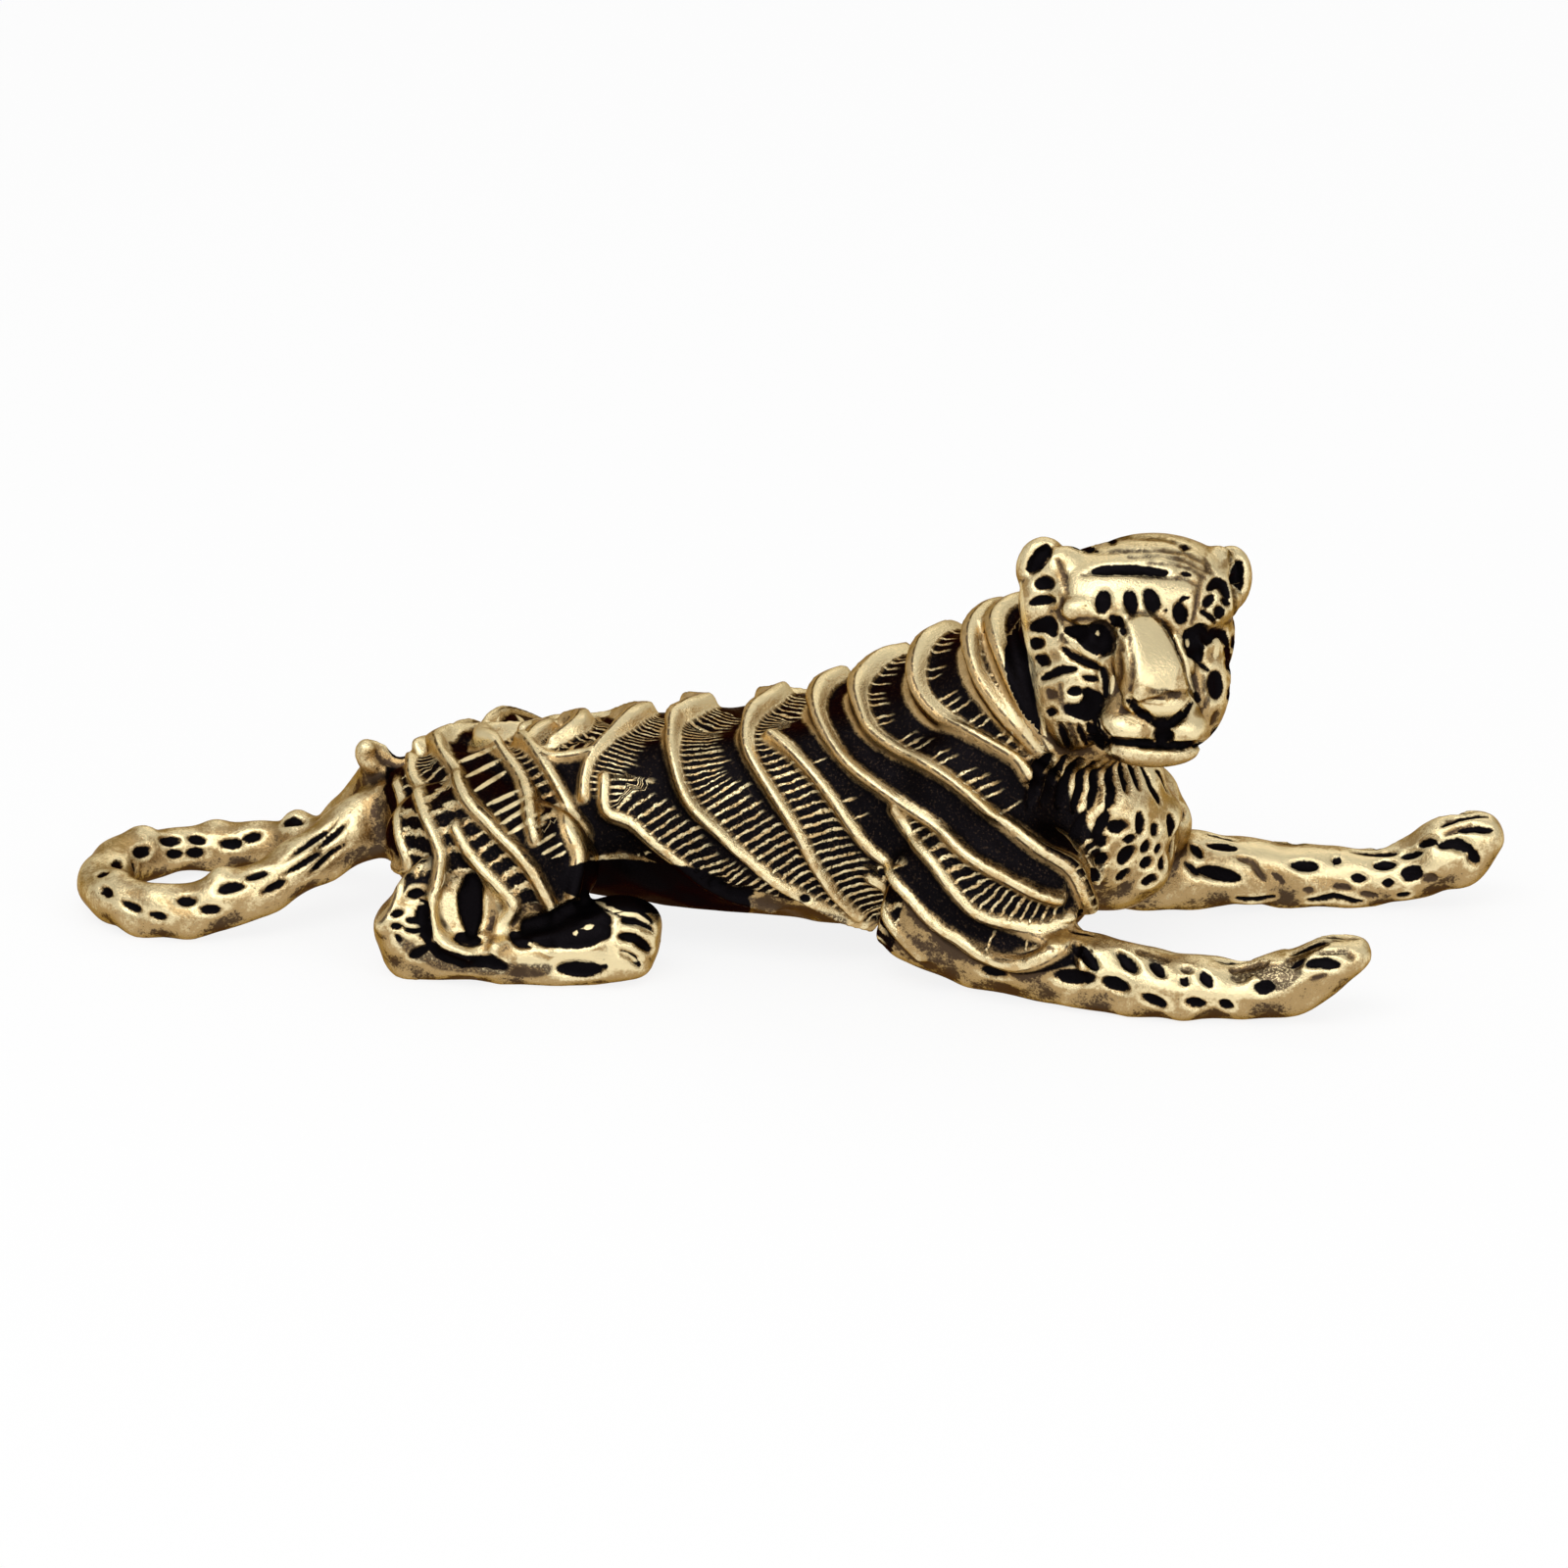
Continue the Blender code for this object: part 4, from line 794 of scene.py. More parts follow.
def ridgeProfile(beyond, ahead):
    # a ridge falls away steeply behind its crest, and steeply and then gently in front of it
    flank = ease(beyond / tigerLook["ridgeFlank"])
    front = 1 - 0.75 * flank
    front -= 0.25 * ease((beyond - 0.5) / tigerLook["ridgeApron"])
    return np.where(ahead > 0, front, 1 - flank)


def coatFields(points, normals):
    # how far the striped coat lifts each point, and what its material needs to know there
    look = tigerLook
    along = points[:, 0]
    right = -points[:, 1]
    over = points[:, 2] - look["axisHeight"]
    reach = np.hypot(right, over)
    facing = ease(((over * normals[:, 2] - right * normals[:, 1]) / reach + 0.1) * 2)
    count = len(points)
    height = np.zeros(count)
    coat = np.zeros(count)
    away = np.full(count, 9.0)
    crestSide = np.zeros(count)
    hairAlong = np.zeros(count)
    hairAcross = np.full(count, 9.0)
    hairKind = np.zeros(count)
    for side in (1, -1):
        down = np.degrees(np.arctan2(side * right, over))
        for order, (rise, hair, *course) in enumerate(ridges):
            if side < 0 and course[0][1] < 0:
                # the right side's ridge already crosses the spine
                course = [(course[0][0], 20)] + [place for place in course if place[1] > 28]
            path = smoothRows(course, 4)
            low = path.min(axis=0)
            high = path.max(axis=0)
            alongside = (along > low[0] - 4) & (along < high[0] + 5)
            near = np.flatnonzero(alongside & (down > low[1] - 50) & (down < high[1] + 50))
            closest, ahead, passed, past = followRidge(path, along[near], down[near], reach[near])
            broad = look["crestSpread"] * (1 - ease((down[near] - 6) / 26))
            profile = ridgeProfile(closest - look["ridgeCrest"] - broad, ahead)
            height[near] = np.maximum(height[near], rise * profile)
            coat[near] = np.maximum(coat[near], 1 - ease((closest - 2.2) / 1.6))
            polished = broad + look["paleCrest"] * (1 - ease((down[near] - 32) / 26))
            spread = np.maximum(closest - polished, 0) / (0.7 + 0.3 * rise)
            crestSide[near] = np.where(spread <= away[near], np.sign(ahead) * closest, crestSide[near])
            away[near] = np.minimum(away[near], spread)
            # a hairline belongs to the nearest ridge behind it
            mine = (ahead > 0) & ~past & (closest - broad < hairAcross[near])
            onHaunch = high[0] < -11
            hairs = look["haunchHairs"] if onHaunch else 1
            hairAcross[near] = np.where(mine, closest - broad, hairAcross[near])
            hairAlong[near] = np.where(mine, passed * hairs + order * 3.1, hairAlong[near])
            hairKind[near] = np.where(mine, hair, hairKind[near])
    down = np.degrees(np.arctan2(np.abs(right), over))
    spine = look["spineValley"] * (1 - ease((down - 14) / 26)) * (1 - ease(height / 0.6))
    valley = look["valleyDepth"] + spine
    lift = (height * look["ridgeHeight"] - valley * coat) * facing
    return lift, {
        "coat": coat * facing * stripedShare(points, down),
        "ridgeAway": away,
        "crestSide": crestSide,
        "hairAlong": hairAlong,
        "hairAcross": hairAcross,
        "hairKind": hairKind,
    }


def stripedShare(points, down):
    # one on the striped coat, nothing on the feet, forelegs, chest, belly and tail
    along, left, height = points.T
    lowest = np.interp(
        along,
        [-26, -23.5, -22, -17, -15.5, -9, -7, 0, 4, 7.5, 9, 11, 13.7, 16.5, 19.5, 22],
        [112, 108, 101, 101, 107, 108, 112, 126, 138, 140, 104, 110, 116, 116, 112, 108],
    )
    share = 1 - ease((down - lowest) / 4)
    foremost = np.interp(height, [5, 9, 11.5, 15, 17], [20.6, 20.2, 18.4, 17.2, 18.4])
    foremost = foremost + 3.5 * ease(left / 5) * ease((height - 9) / 3)
    share *= ease((along + 26.5) / 1.2) * (1 - ease((along - foremost) / 1.4))
    return share


def wrapped(angle):
    return (angle + 180) % 360 - 180


def lineGap(first, second, sizes, places, halfWidth, turns):
    # distance to the edge of a bent line on a chart, in millimetres, below zero inside it
    gap = np.full(len(first), 9.0)
    runs = list(zip(places, places[1:] or places))
    for order, (start, end) in enumerate(runs):
        fromFirst = (first - start[0]) * sizes[0]
        fromSecond = (wrapped(second - start[1]) if turns else second - start[1]) * sizes[1]
        stepFirst = (end[0] - start[0]) * sizes[0]
        stepSecond = (end[1] - start[1]) * sizes[1]
        share = (fromFirst * stepFirst + fromSecond * stepSecond) / (stepFirst**2 + stepSecond**2 + 1e-9)
        share = np.clip(share, 0, 1)
        # the line thins towards its ends
        thin = halfWidth * 0.45 * np.abs(2 * (order + share) / len(runs) - 1) ** 3
        away = np.hypot(fromFirst - share * stepFirst, fromSecond - share * stepSecond)
        gap = np.minimum(gap, away + thin)
    return gap - halfWidth


def spotGap(first, second, sizes, spot, turns):
    # distance to the edge of an oval spot, below zero inside it
    a, b, halfLong, halfWide, lean = spot
    angle = math.radians(lean)
    fromFirst = (first - a) * sizes[0]
    fromSecond = (wrapped(second - b) if turns else second - b) * sizes[1]
    along = (fromFirst * math.cos(angle) + fromSecond * math.sin(angle)) / halfLong
    beside = (fromSecond * math.cos(angle) - fromFirst * math.sin(angle)) / halfWide
    return (np.hypot(along, beside) - 1) * min(halfLong, halfWide)


class MarkFields:
    # for each point, the distance to the nearest mark of each tone and how deep the marks press it

    def __init__(self, count):
        self.gap = {tone: np.full(count, 2.0) for tone in ("black", "brown", "gold", "rubbed")}
        self.depth = np.zeros(count)

    def lay(self, only, first, second, sizes, marks, turns=False):
        # only says which points the chart covers, sizes how many millimetres one step on it is
        where = np.flatnonzero(only)
        first, second = first[where], second[where]
        sizes = [size[where] if hasattr(size, "shape") else size for size in sizes]
        for mark in marks:
            if isinstance(mark[0], str):
                tone, halfWidth, depth, *places = mark
                gap = lineGap(first, second, sizes, places, halfWidth, turns)
            else:
                *spot, depth = mark
                tone = "black"
                gap = spotGap(first, second, sizes, spot, turns)
            self.gap[tone][where] = np.minimum(self.gap[tone][where], gap)
            pressed = depth * (1 - ease((gap + 0.12) / 0.28))
            if depth > 0:
                self.depth[where] = np.maximum(self.depth[where], pressed)
            else:
                self.depth[where] += pressed


def acrossTheLeg(marks, shift):
    # the same marks on the other side of a leg
    for mark in marks:
        if isinstance(mark[0], str):
            yield (*mark[:3], *((a + shift, 180 - b) for a, b in mark[3:]))
        else:
            a, b, halfLong, halfWide, lean, depth = mark
            yield a + shift, 180 - b, halfLong, halfWide, -lean, depth


def layHeadMarks(fields, points, normals):
    # the face as the photograph shows it, the rest of the head by degrees round it
    turn = np.array(viewTurn)
    local = (points - np.array(tigerLook["headCentre"])) @ turn
    inHead = headShare(points) > 0.5
    front = inHead & (-(normals @ turn)[:, 1] > 0.08)
    fields.lay(front, local[:, 0], local[:, 2], (1, 1), faceMarks)
    local = (points - np.array(tigerLook["headCentre"])) @ np.array(headTurn)
    bearing = np.degrees(np.arctan2(local[:, 0], -local[:, 1]))
    beside = np.radians(np.hypot(local[:, 0], local[:, 1]))
    nape = []
    for side in (-1, 1):
        for halfWidth, *places in napeStripes:
            mirrored = [(side * degrees, up) for degrees, up in places]
            nape.append(("black", halfWidth, tigerLook["spotDepth"], *mirrored))
    fields.lay(inHead & ~front, bearing, local[:, 2], (beside, 1), (*ruffMarks, *nape))


def layChestMarks(fields, points, normals):
    # round an upright line between the shoulders
    forward = points[:, 0] - 14
    bearing = np.degrees(np.arctan2(points[:, 1], forward))
    beside = np.radians(np.hypot(points[:, 1], forward))
    inFront = (points[:, 0] > 16.5) & (points[:, 2] > 3) & (points[:, 2] < 16)
    chest = inFront & (headShare(points) <= 0.5) & (beside < 0.23)
    fields.lay(chest & (normals[:, 0] > -0.3), bearing, points[:, 2], (beside, 1), chestMarks)


def layForelegMarks(fields, points):
    # the inner side of each foreleg carries the other one's marks
    for track, reach, lift, mine, other in (
        (nearTrack, 0, 0, nearLegMarks, farLegMarks),
        (farTrack, farReach, farLift, farLegMarks, nearLegMarks),
    ):
        rows = smoothRows(forelegRows(track, reach, lift), 6)
        midY = np.interp(points[:, 0], rows[:, 0], rows[:, 1])
        midZ = np.interp(points[:, 0], rows[:, 0], rows[:, 2])
        beside = np.hypot(points[:, 1] - midY, points[:, 2] - midZ)
        around = np.degrees(np.arctan2(points[:, 2] - midZ, -(points[:, 1] - midY)))
        leg = (points[:, 0] > 12.5 + reach) & (beside < 3.9)
        inner = acrossTheLeg(other, reach or -farReach)
        fields.lay(leg, points[:, 0], around, (1, np.radians(beside)), (*mine, *inner), True)


def layHindMarks(fields, points, normals):
    # feet, belly and haunches, the left ones mirrored
    turn = np.array(viewTurn)
    haunchFoot = 7.6
    for side in (1, -1):
        mirrored = (1, side, 1)
        local = (points * mirrored - np.array(tigerLook["footCentre"])) @ turn
        outward = (points[:, 1] * side < 0) & (-((normals * mirrored) @ turn)[:, 1] > -0.25)
        foot = (points[:, 0] > -25) & (points[:, 0] < 6) & (points[:, 2] < haunchFoot)
        fields.lay(outward & foot, local[:, 0], local[:, 2], (1, 1), footMarks)
        haunch = (points[:, 0] > -26) & (points[:, 0] < -12) & (points[:, 2] > haunchFoot)
        fields.lay(outward & haunch, local[:, 0], local[:, 2], (1, 1), haunchMarks)


def layTailMarks(fields, points):
    # each point's nearest place on the tail's line, and how it is turned round that line
    path = smoothRows(tailRows, 10)[:, :3]
    tangents = np.gradient(path, axis=0)
    tangents /= np.linalg.norm(tangents, axis=1)[:, None]
    run = np.concatenate([[0], np.cumsum(np.linalg.norm(np.diff(path, axis=0), axis=1))])
    tail = np.flatnonzero(points[:, 0] < -25.5)
    offset = points[tail][:, None] - path[None]
    best = np.argmin((offset**2).sum(2), axis=1)
    offset = offset[np.arange(len(tail)), best]
    sideways = np.cross(tangents[best], (0, 0, 1))
    sideways /= np.linalg.norm(sideways, axis=1)[:, None]
    upwards = np.cross(sideways, tangents[best])
    place = np.zeros(len(points))
    around = np.zeros(len(points))
    beside = np.full(len(points), 9.0)
    place[tail] = run[best] + (offset * tangents[best]).sum(1)
    around[tail] = np.degrees(np.arctan2((offset * upwards).sum(1), (offset * sideways).sum(1)))
    beside[tail] = np.linalg.norm(offset, axis=1)
    spots = [(*spot, tigerLook["spotDepth"]) for spot in tailSpots]
    opposite = [(a + 1.2, wrapped(b + 180), *rest) for a, b, *rest in spots]
    fields.lay(beside < 3.4, place, around, (1, np.radians(beside)), (*spots, *opposite), True)


def allMarks(points, normals):
    fields = MarkFields(len(points))
    layHeadMarks(fields, points, normals)
    layChestMarks(fields, points, normals)
    layForelegMarks(fields, points)
    layHindMarks(fields, points, normals)
    layTailMarks(fields, points)
    return fields


def headShare(points):
    # one on the head and ears, nothing on the body
    local = (points - np.array(tigerLook["headCentre"])) @ np.array(headTurn)
    local = (local - (0, -1.4, 1.0)) / (8.2, 7.6, 7.4)
    size = np.linalg.norm(local, axis=1)
    ears = ease((points[:, 2] - 24.2) / 0.6) * (points[:, 0] > 14)
    return np.maximum(ease((1.06 - size) / 0.1), ears)


def handmade(points):
    # the uneven surface that a hand-cut mould leaves, strongest on the legs and the tail
    chance = np.random.default_rng(tigerLook["lumpSeed"])
    uneven = np.zeros(len(points))
    for wave in range(14):
        heading = chance.normal(size=3)
        heading *= math.tau / chance.uniform(2.2, 4.6) / np.linalg.norm(heading)
        uneven += np.sin(points @ heading + chance.uniform(0, math.tau))
    outside = np.maximum(ease((-26 - points[:, 0]) / 2), ease((points[:, 0] - 20) / 4) * (points[:, 2] < 9))
    return uneven * (0.02 + 0.02 * outside)


def proudness(mesh, rounds):
    # how far each point stands above a smoothed copy of the surface, in millimetres
    points, normals = meshArrays(mesh)
    ends = np.empty(len(mesh.edges) * 2, np.int32)
    mesh.edges.foreach_get("vertices", ends)
    first, second = ends[0::2], ends[1::2]
    valence = np.bincount(ends, minlength=len(points))[:, None]
    soft = points.copy()
    for turn in range(rounds):
        total = np.zeros_like(soft)
        for axis in range(3):
            total[:, axis] = np.bincount(first, soft[second, axis], len(points))
            total[:, axis] += np.bincount(second, soft[first, axis], len(points))
        soft = 0.4 * soft + 0.6 * total / valence
    return ((points - soft) * normals).sum(1)


def shaderNode(tree, kind, values=(), operation=None, **options):
    # a node whose sockets are set, or linked where the value is another node's socket
    node = tree.nodes.new(kind)
    if operation:
        node.operation = operation
    for name, value in options.items():
        setattr(node, name, value)
    for socket, value in dict(values).items():
        if hasattr(value, "is_output"):
            tree.links.new(value, node.inputs[socket])
        else:
            node.inputs[socket].default_value = value
    return node


def maths(tree, operation, a, b=0.0, c=0.0):
    node = shaderNode(tree, "ShaderNodeMath", {0: a, 1: b, 2: c}, operation)
    return node.outputs[0]


def ramp(tree, value, low, high, to=(0.0, 1.0)):
    # a soft step from low to high
    node = shaderNode(tree, "ShaderNodeMapRange", {0: value, 1: low, 2: high, 3: to[0], 4: to[1]})
    node.interpolation_type = "SMOOTHSTEP"
    return node.outputs[0]


def mixed(tree, share, a, b):
    # colour a where the share is nothing, b where it is one
    node = tree.nodes.new("ShaderNodeMix")
    node.data_type = "RGBA"
    for socket, value in ((0, share), (6, a), (7, b)):
        if hasattr(value, "is_output"):
            tree.links.new(value, node.inputs[socket])
        else:
            node.inputs[socket].default_value = value if isinstance(value, float) else (*value, 1)
    return node.outputs[2]


# What the casting's points carry for its material.
carvedFields = (
    "coat",
    "ridgeAway",
    "crestSide",
    "hairAlong",
    "hairAcross",
    "hairKind",
    "blackGap",
    "brownGap",
    "goldGap",
    "rubbedGap",
    "proud",
    "facesUp",
)


def surfaceSockets(tree):
    # what the casting's points carry, and the noises that fray every edge
    on = {}
    for name in carvedFields:
        on[name] = shaderNode(tree, "ShaderNodeAttribute", attribute_name=name).outputs["Fac"]
    place = tree.nodes.new("ShaderNodeTexCoord").outputs["Object"]
    size = shaderNode(tree, "ShaderNodeMapping", {"Vector": place, "Scale": [1 / mm] * 3}).outputs[0]
    for name, scale, detail, roughness in (("blotch", 1.6, 4, 0.6), ("grain", 6.0, 3, 0.7)):
        values = {"Vector": size, "Scale": scale, "Detail": detail, "Roughness": roughness}
        on[name] = shaderNode(tree, "ShaderNodeTexNoise", values).outputs[0]
    pitNode = shaderNode(tree, "ShaderNodeTexVoronoi", {"Vector": size, "Scale": 2.2, "Randomness": 1.0})
    on["pits"] = pitNode.outputs["Distance"]
    on["jitter"] = maths(tree, "MULTIPLY_ADD", on["blotch"], 0.34, -0.17)
    on["fine"] = maths(tree, "MULTIPLY_ADD", on["grain"], 0.20, -0.10)
    return on


def hairlineMask(tree, on):
    # hairlines across the gap in front of a ridge, uneven in width and length
    wander = maths(tree, "MULTIPLY_ADD", on["blotch"], 0.5, 0.0)
    beat = maths(tree, "DIVIDE", maths(tree, "ADD", on["hairAlong"], wander), tigerLook["hairPitch"])
    cell = maths(tree, "FLOOR", beat)
    chance = shaderNode(tree, "ShaderNodeTexWhiteNoise", {"W": cell}, noise_dimensions="1D").outputs[0]
    fromLine = maths(tree, "ABSOLUTE", maths(tree, "SUBTRACT", maths(tree, "FRACT", beat), 0.5))
    halfWidth = maths(tree, "MULTIPLY_ADD", chance, 0.08, 0.12)
    hair = ramp(tree, maths(tree, "SUBTRACT", fromLine, halfWidth), 0.06, -0.04)
    end = maths(tree, "ADD", maths(tree, "MULTIPLY_ADD", chance, 0.8, 0.7), on["hairKind"])
    within = ramp(tree, maths(tree, "SUBTRACT", on["hairAcross"], end), 0.5, -0.2)
    hair = maths(tree, "MULTIPLY", hair, within)
    kept = maths(tree, "LESS_THAN", chance, maths(tree, "MULTIPLY", on["hairKind"], 1.1))
    hair = maths(tree, "MULTIPLY", hair, kept)
    hair = maths(tree, "MULTIPLY", hair, ramp(tree, on["grain"], 0.30, 0.45))
    return maths(tree, "MULTIPLY", hair, on["coat"])


def crestTones(tree, on):
    # each crest is painted light in front and darker behind, lit and shaded copies of its gold, with a
    # broken dark crease between them; where it faces up it is painted lighter too
    look = tigerLook
    side = maths(tree, "ADD", on["crestSide"], maths(tree, "MULTIPLY", on["jitter"], 0.5))
    front = ramp(tree, side, -0.16, 0.02)
    crease = ramp(tree, maths(tree, "ABSOLUTE", maths(tree, "ADD", side, 0.10)), 0.10, 0.04)
    crease = maths(tree, "MULTIPLY", crease, ramp(tree, on["blotch"], 0.40, 0.52))
    sunlit = maths(tree, "ADD", on["blotch"], maths(tree, "MULTIPLY", on["facesUp"], 0.2))
    litFront = mixed(tree, ramp(tree, sunlit, 0.35, 0.55), look["tanGold"], look["brightGold"])
    shadedBack = mixed(tree, ramp(tree, sunlit, 0.40, 0.70), look["warmGold"], look["tanGold"])
    bright = mixed(tree, front, shadedBack, litFront)
    return mixed(tree, maths(tree, "MULTIPLY", crease, 0.85), bright, look["brownFilm"])


def valleyTones(tree, on, crestAt, hair):
    # soot with brown specks between the ridges, frayed gold at their feet, and the hairlines
    look = tigerLook
    grain = on["grain"]
    sooty = maths(tree, "MULTIPLY", ramp(tree, grain, 0.56, 0.68), 0.45)
    valley = mixed(tree, sooty, look["blackFilm"], look["brownFilm"])
    edgeTone = mixed(tree, ramp(tree, grain, 0.35, 0.6), look["brownFilm"], look["warmGold"])
    edge = maths(tree, "MULTIPLY", ramp(tree, crestAt, 0.64, 0.42), ramp(tree, grain, 0.3, 0.6))
    valley = mixed(tree, edge, valley, edgeTone)
    hairTone = mixed(tree, ramp(tree, on["blotch"], 0.40, 0.60), look["tanGold"], look["brightGold"])
    return mixed(tree, hair, valley, hairTone)


def filmTones(tree, on, lip):
    # outside the coat the film wears off what stands proud, and what faces up is painted lighter and what
    # faces down darker, as light from above falls on them
    look = tigerLook
    blotch = on["blotch"]
    grain = on["grain"]
    wearAndTopLight = maths(tree, "MULTIPLY_ADD", on["proud"], 4.5, 0.14)
    # painted light from above: lighter on what faces up, darker and browner on what faces down
    wearAndTopLight = maths(tree, "ADD", wearAndTopLight, maths(tree, "MULTIPLY", on["facesUp"], 0.34))
    wearAndTopLight = maths(tree, "ADD", wearAndTopLight, maths(tree, "MULTIPLY_ADD", blotch, 0.9, -0.45))
    wearAndTopLight = maths(tree, "ADD", wearAndTopLight, maths(tree, "MULTIPLY_ADD", grain, 0.9, -0.45))
    # a lighter ring round the black marks: rubbed wear of a rim, and a painted highlight on it where no lip
    # is raised
    wearAndTopLight = maths(tree, "ADD", wearAndTopLight, maths(tree, "MULTIPLY", lip, 0.3))
    rubbed = ramp(tree, on["rubbedGap"], 0.3, -0.3)
    wearAndTopLight = maths(tree, "ADD", wearAndTopLight, maths(tree, "MULTIPLY", rubbed, 0.9))
    # the brown film, together with painted shade on what faces down
    filmAndUnderShade = ramp(tree, wearAndTopLight, 0.28, 0.0)
    deep = ramp(tree, on["proud"], -0.05, -0.16)
    plain = mixed(tree, ramp(tree, wearAndTopLight, 0.40, 0.95), look["warmGold"], look["brightGold"])
    plain = mixed(tree, filmAndUnderShade, plain, look["brownFilm"])
    plain = mixed(tree, deep, plain, look["blackFilm"])
    pitted = maths(tree, "ADD", on["pits"], maths(tree, "MULTIPLY", blotch, 0.3))
    speck = ramp(tree, pitted, 0.24, 0.18)
    plain = mixed(tree, maths(tree, "MULTIPLY", speck, 0.75), plain, look["brownFilm"])
    dust = maths(tree, "MULTIPLY", ramp(tree, grain, 0.58, 0.70), ramp(tree, wearAndTopLight, 1.0, 0.4))
    plain = mixed(tree, maths(tree, "MULTIPLY", dust, 0.6), plain, look["brownFilm"])
    return plain, filmAndUnderShade, deep, speck


def agedBrass():
    # cast brass, rubbed bright on what stands proud and black in the hollows, with painted light: lighter
    # where it faces up, darker where it faces down, crests lit in front and shaded behind, and a few painted
    # glints
    look = tigerLook
    material = bpy.data.materials.new("agedBrass")
    material.use_nodes = True
    tree = material.node_tree
    shader = tree.nodes["Principled BSDF"]
    on = surfaceSockets(tree)
    jitter = on["jitter"]

    crestAt = maths(tree, "ADD", maths(tree, "ADD", on["ridgeAway"], jitter), on["fine"])
    crest = ramp(tree, crestAt, 0.46, 0.36)
    hair = hairlineMask(tree, on)
    inCoat = ramp(tree, maths(tree, "ADD", on["coat"], jitter), 0.35, 0.65)
    outOfCoat = maths(tree, "SUBTRACT", 1.0, inCoat)

    ragged = maths(tree, "MULTIPLY", on["fine"], 0.7)
    ragged = maths(tree, "ADD", maths(tree, "MULTIPLY", jitter, 0.8), ragged)
    mark = ramp(tree, maths(tree, "ADD", on["blackGap"], ragged), 0.06, -0.04)
    stain = maths(tree, "ADD", on["brownGap"], maths(tree, "MULTIPLY", ragged, 1.4))
    stippled = ramp(tree, on["grain"], 0.36, 0.52, (0.25, 0.94))
    stain = maths(tree, "MULTIPLY", ramp(tree, stain, 0.12, -0.08), stippled)
    gilt = ramp(tree, maths(tree, "ADD", on["goldGap"], maths(tree, "MULTIPLY", ragged, 0.4)), 0.05, -0.03)
    # the ring round the black marks, rubbed wear and a painted highlight
    lip = maths(tree, "MULTIPLY", ramp(tree, on["blackGap"], 0.42, 0.12), maths(tree, "SUBTRACT", 1.0, mark))

    plain, filmAndUnderShade, deep, speck = filmTones(tree, on, lip)
    striped = mixed(tree, crest, valleyTones(tree, on, crestAt, hair), crestTones(tree, on))
    colour = mixed(tree, inCoat, plain, striped)
    colour = mixed(tree, stain, colour, look["brownFilm"])
    colour = mixed(tree, mark, colour, look["blackFilm"])
    colour = mixed(tree, gilt, colour, look["brightGold"])

    sooted = maths(tree, "SUBTRACT", 1.0, maths(tree, "MAXIMUM", crest, hair))
    black = maths(tree, "MAXIMUM", maths(tree, "MULTIPLY", inCoat, sooted), mark)
    black = maths(tree, "MAXIMUM", black, maths(tree, "MULTIPLY", deep, outOfCoat))
    rough = maths(tree, "MULTIPLY_ADD", black, 0.18, 0.26)
    rough = maths(tree, "ADD", rough, maths(tree, "MULTIPLY", filmAndUnderShade, 0.15))

    raised = maths(tree, "MULTIPLY", hair, maths(tree, "SUBTRACT", 1.0, crest))
    lift = maths(tree, "MULTIPLY", raised, 0.14)
    lift = maths(tree, "ADD", lift, maths(tree, "MULTIPLY", on["grain"], 0.05))
    lift = maths(tree, "SUBTRACT", lift, maths(tree, "MULTIPLY", speck, 0.05))
    bump = shaderNode(tree, "ShaderNodeBump", {"Height": lift, "Distance": mm, "Strength": 0.9})
    tree.links.new(colour, shader.inputs["Base Color"])
    shader.inputs["Metallic"].default_value = 1.0
    shader.inputs["Specular Tint"].default_value = (0.5, 0.36, 0.2, 1)
    tree.links.new(rough, shader.inputs["Roughness"])
    tree.links.new(bump.outputs[0], shader.inputs["Normal"])
    return material


def bodyClay(brass):
    body = bmesh.new()
    trunkClay(body)
    forelegClay(body, nearTrack, 0, 0)
    forelegClay(body, farTrack, farReach, farLift)
    hindLegClay(body, -1)
    hindLegClay(body, 1)
    tailClay(body, brass)
    return body


def thinned(mesh):
    # fewer triangles where the surface is plain
    tiger = bpy.data.objects.new("castTiger", mesh)
    bpy.context.scene.collection.objects.link(tiger)
    thin = tiger.modifiers.new("thin", "DECIMATE")
    thin.ratio = tigerLook["triangles"] / (2 * len(mesh.vertices))
    return bakedMesh(tiger)


def writeFields(mesh):
    # nothing stays below the floor, and each point is told what its material needs
    points, normals = meshArrays(mesh)
    points[:, 2] = np.maximum(points[:, 2], 0)
    setPoints(mesh, points)
    fields = coatFields(points, normals)[1]
    fields["coat"] = fields["coat"] * (1 - headShare(points))
    marks = allMarks(points, normals)
    for tone, gap in marks.gap.items():
        fields[tone + "Gap"] = gap
    fields["proud"] = proudness(mesh, 10)
    # which way each point faces, for the light from above that the material paints
    fields["facesUp"] = normals[:, 2]
    for name in carvedFields:
        layer = mesh.attributes.new(name, "FLOAT", "POINT")
        layer.data.foreach_set("value", fields[name].astype(np.float32))


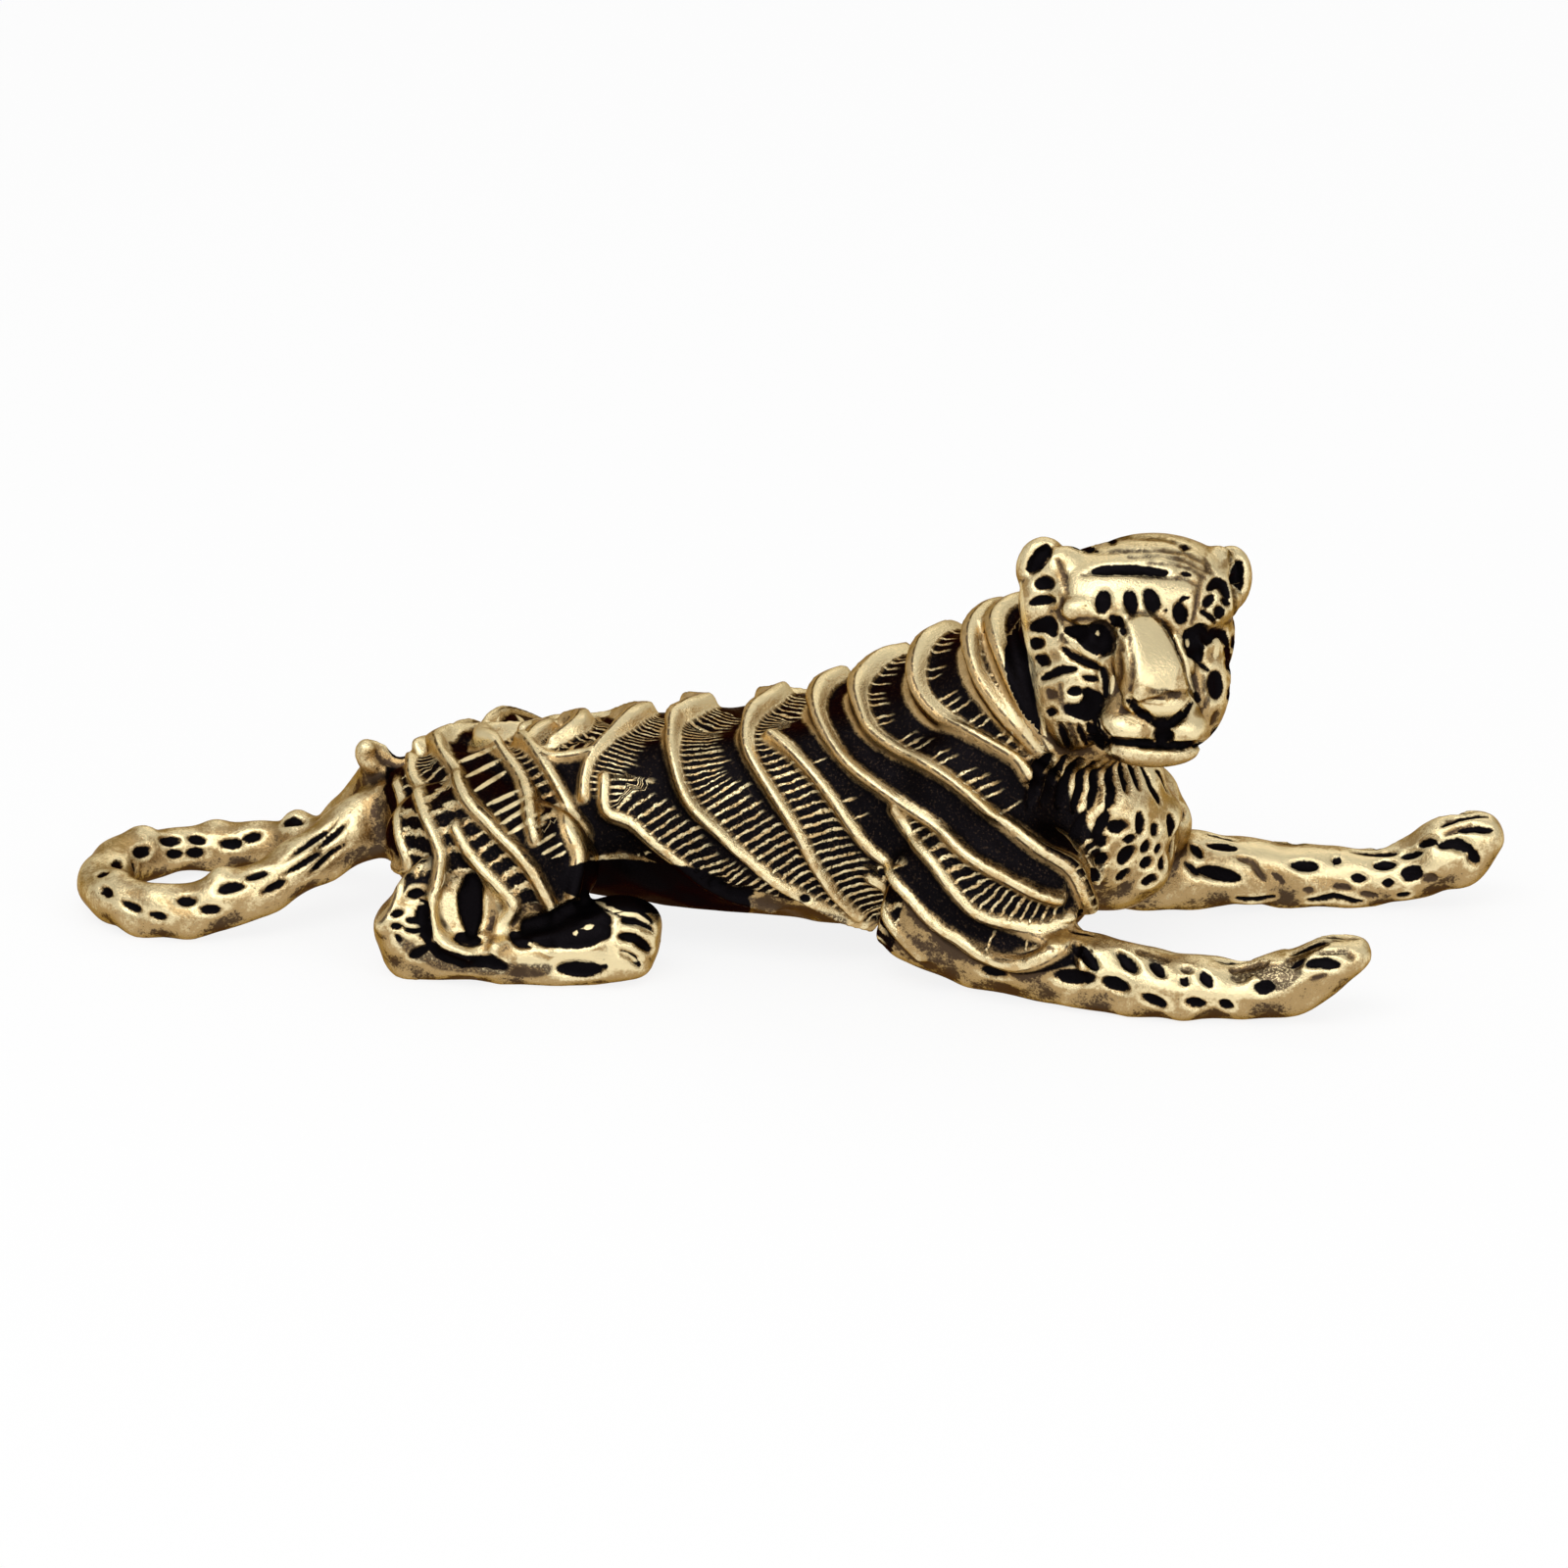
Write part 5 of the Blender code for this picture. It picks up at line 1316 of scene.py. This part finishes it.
def castTiger():
    look = tigerLook
    brass = agedBrass()
    softening = round(8 * (0.4 / look["fineness"]) ** 2)  # finer cells need more rounds for one softness
    mesh = fused("tigerBody", bodyClay(brass), look["fineness"], softening)
    print("body fused:", len(mesh.vertices), "points")
    points, normals = meshArrays(mesh)
    lift = coatFields(points, normals)[0]
    setPoints(mesh, points + normals * (lift + handmade(points))[:, None])
    print("ridges raised")
    whole = bmesh.new()
    headClay(whole)
    whole.from_mesh(mesh)
    mesh = fused("tigerWhole", whole, look["faceFineness"], 4)
    print("head joined:", len(mesh.vertices), "points")
    points, normals = meshArrays(mesh)
    depth = allMarks(points, normals).depth
    setPoints(mesh, points - normals * depth[:, None])
    mesh = thinned(mesh)
    print("marks pressed, mesh thinned:", len(mesh.polygons), "faces")
    writeFields(mesh)
    mesh.materials.clear()
    mesh.materials.append(brass)
    mesh.shade_smooth()
    tiger = bpy.data.objects.new("castTiger", mesh)
    bpy.context.scene.collection.objects.link(tiger)
    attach(tiger, "root")
    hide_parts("tiger")
    print("tiger finished")


# Plain soft light on plain paper. Powers are in watts.
studioLook = {
    "floorColour": (0.93, 0.93, 0.93),
    "floorShow": 0.85,  # how much of the floor is plain white to the camera
    "worldLevel": 0.6,
    "frontPower": 0.6,
    "keyPower": 1.4,
    "fillPower": 0.5,
    "rimPower": 0.25,
    "lampAim": 0.01,  # height in metres that the lamps point at
}


def paperFloor():
    # takes the light and the tiger's shadow, and looks nearly white to the camera
    look = studioLook
    plane = bmesh.new()
    bmesh.ops.create_grid(plane, x_segments=1, y_segments=1, size=3)
    mesh = bpy.data.meshes.new("floor")
    plane.to_mesh(mesh)
    plane.free()
    floor = bpy.data.objects.new("floor", mesh)
    bpy.context.scene.collection.objects.link(floor)
    material = bpy.data.materials.new("floorPaper")
    material.use_nodes = True
    tree = material.node_tree
    paper = tree.nodes["Principled BSDF"]
    paper.inputs["Base Color"].default_value = (*look["floorColour"], 1)
    paper.inputs["Roughness"].default_value = 0.9
    paper.inputs["Specular IOR Level"].default_value = 0.0
    glow = shaderNode(tree, "ShaderNodeEmission", {"Color": (1, 1, 1, 1), "Strength": 1.0})
    path = tree.nodes.new("ShaderNodeLightPath")
    seen = maths(tree, "ADD", path.outputs["Is Camera Ray"], path.outputs["Is Glossy Ray"])
    seen = maths(tree, "MINIMUM", maths(tree, "ADD", seen, path.outputs["Is Transmission Ray"]), 1.0)
    share = maths(tree, "MULTIPLY", seen, look["floorShow"])
    both = shaderNode(tree, "ShaderNodeMixShader", {0: share, 1: paper.outputs[0], 2: glow.outputs[0]})
    tree.links.new(both.outputs[0], tree.nodes["Material Output"].inputs["Surface"])
    mesh.materials.append(material)


def softbox(name, place, size, power):
    lamp = bpy.data.lights.new(name, "AREA")
    lamp.shape = "RECTANGLE"
    lamp.size, lamp.size_y = size
    lamp.energy = power
    holder = bpy.data.objects.new(name, lamp)
    holder.location = place
    aim = Vector((0, 0, studioLook["lampAim"])) - Vector(place)
    holder.rotation_euler = aim.to_track_quat("-Z", "Y").to_euler()
    bpy.context.scene.collection.objects.link(holder)


def studio():
    look = studioLook
    paperFloor()
    world = bpy.data.worlds.new("studio")
    bpy.context.scene.world = world
    world.use_nodes = True
    tree = world.node_tree
    plain = tree.nodes["Background"]
    plain.inputs["Strength"].default_value = look["worldLevel"]
    plain.inputs["Color"].default_value = (1, 1, 1, 1)

    softbox("frontPanel", (0.08, -0.62, 0.34), (0.55, 0.45), look["frontPower"])
    softbox("keyLight", (-0.12, -0.3, 0.55), (0.5, 0.4), look["keyPower"])
    softbox("fillLight", (0.45, -0.35, 0.25), (0.25, 0.25), look["fillPower"])
    softbox("rimLight", (0.05, 0.4, 0.35), (0.5, 0.15), look["rimPower"])
    print("studio lit")


def photographFrame():
    view = photoView
    turn = math.radians(view["azimuth"])
    rise = math.radians(view["rise"])
    back = Vector((math.sin(turn) * math.cos(rise), -math.cos(turn) * math.cos(rise), math.sin(rise)))
    lens = bpy.data.cameras.new("camera")
    lens.lens = view["lens"]
    lens.sensor_width = 36
    lens.clip_start = 0.01
    camera = bpy.data.objects.new("camera", lens)
    camera.location = Vector((0, 0, view["aimHeight"])) + back * view["distance"]
    camera.rotation_euler = (-back).to_track_quat("-Z", "Y").to_euler()
    bpy.context.scene.collection.objects.link(camera)
    bpy.context.scene.camera = camera
    bpy.context.scene.view_settings.view_transform = "Standard"


castTiger()
studio()
photographFrame()
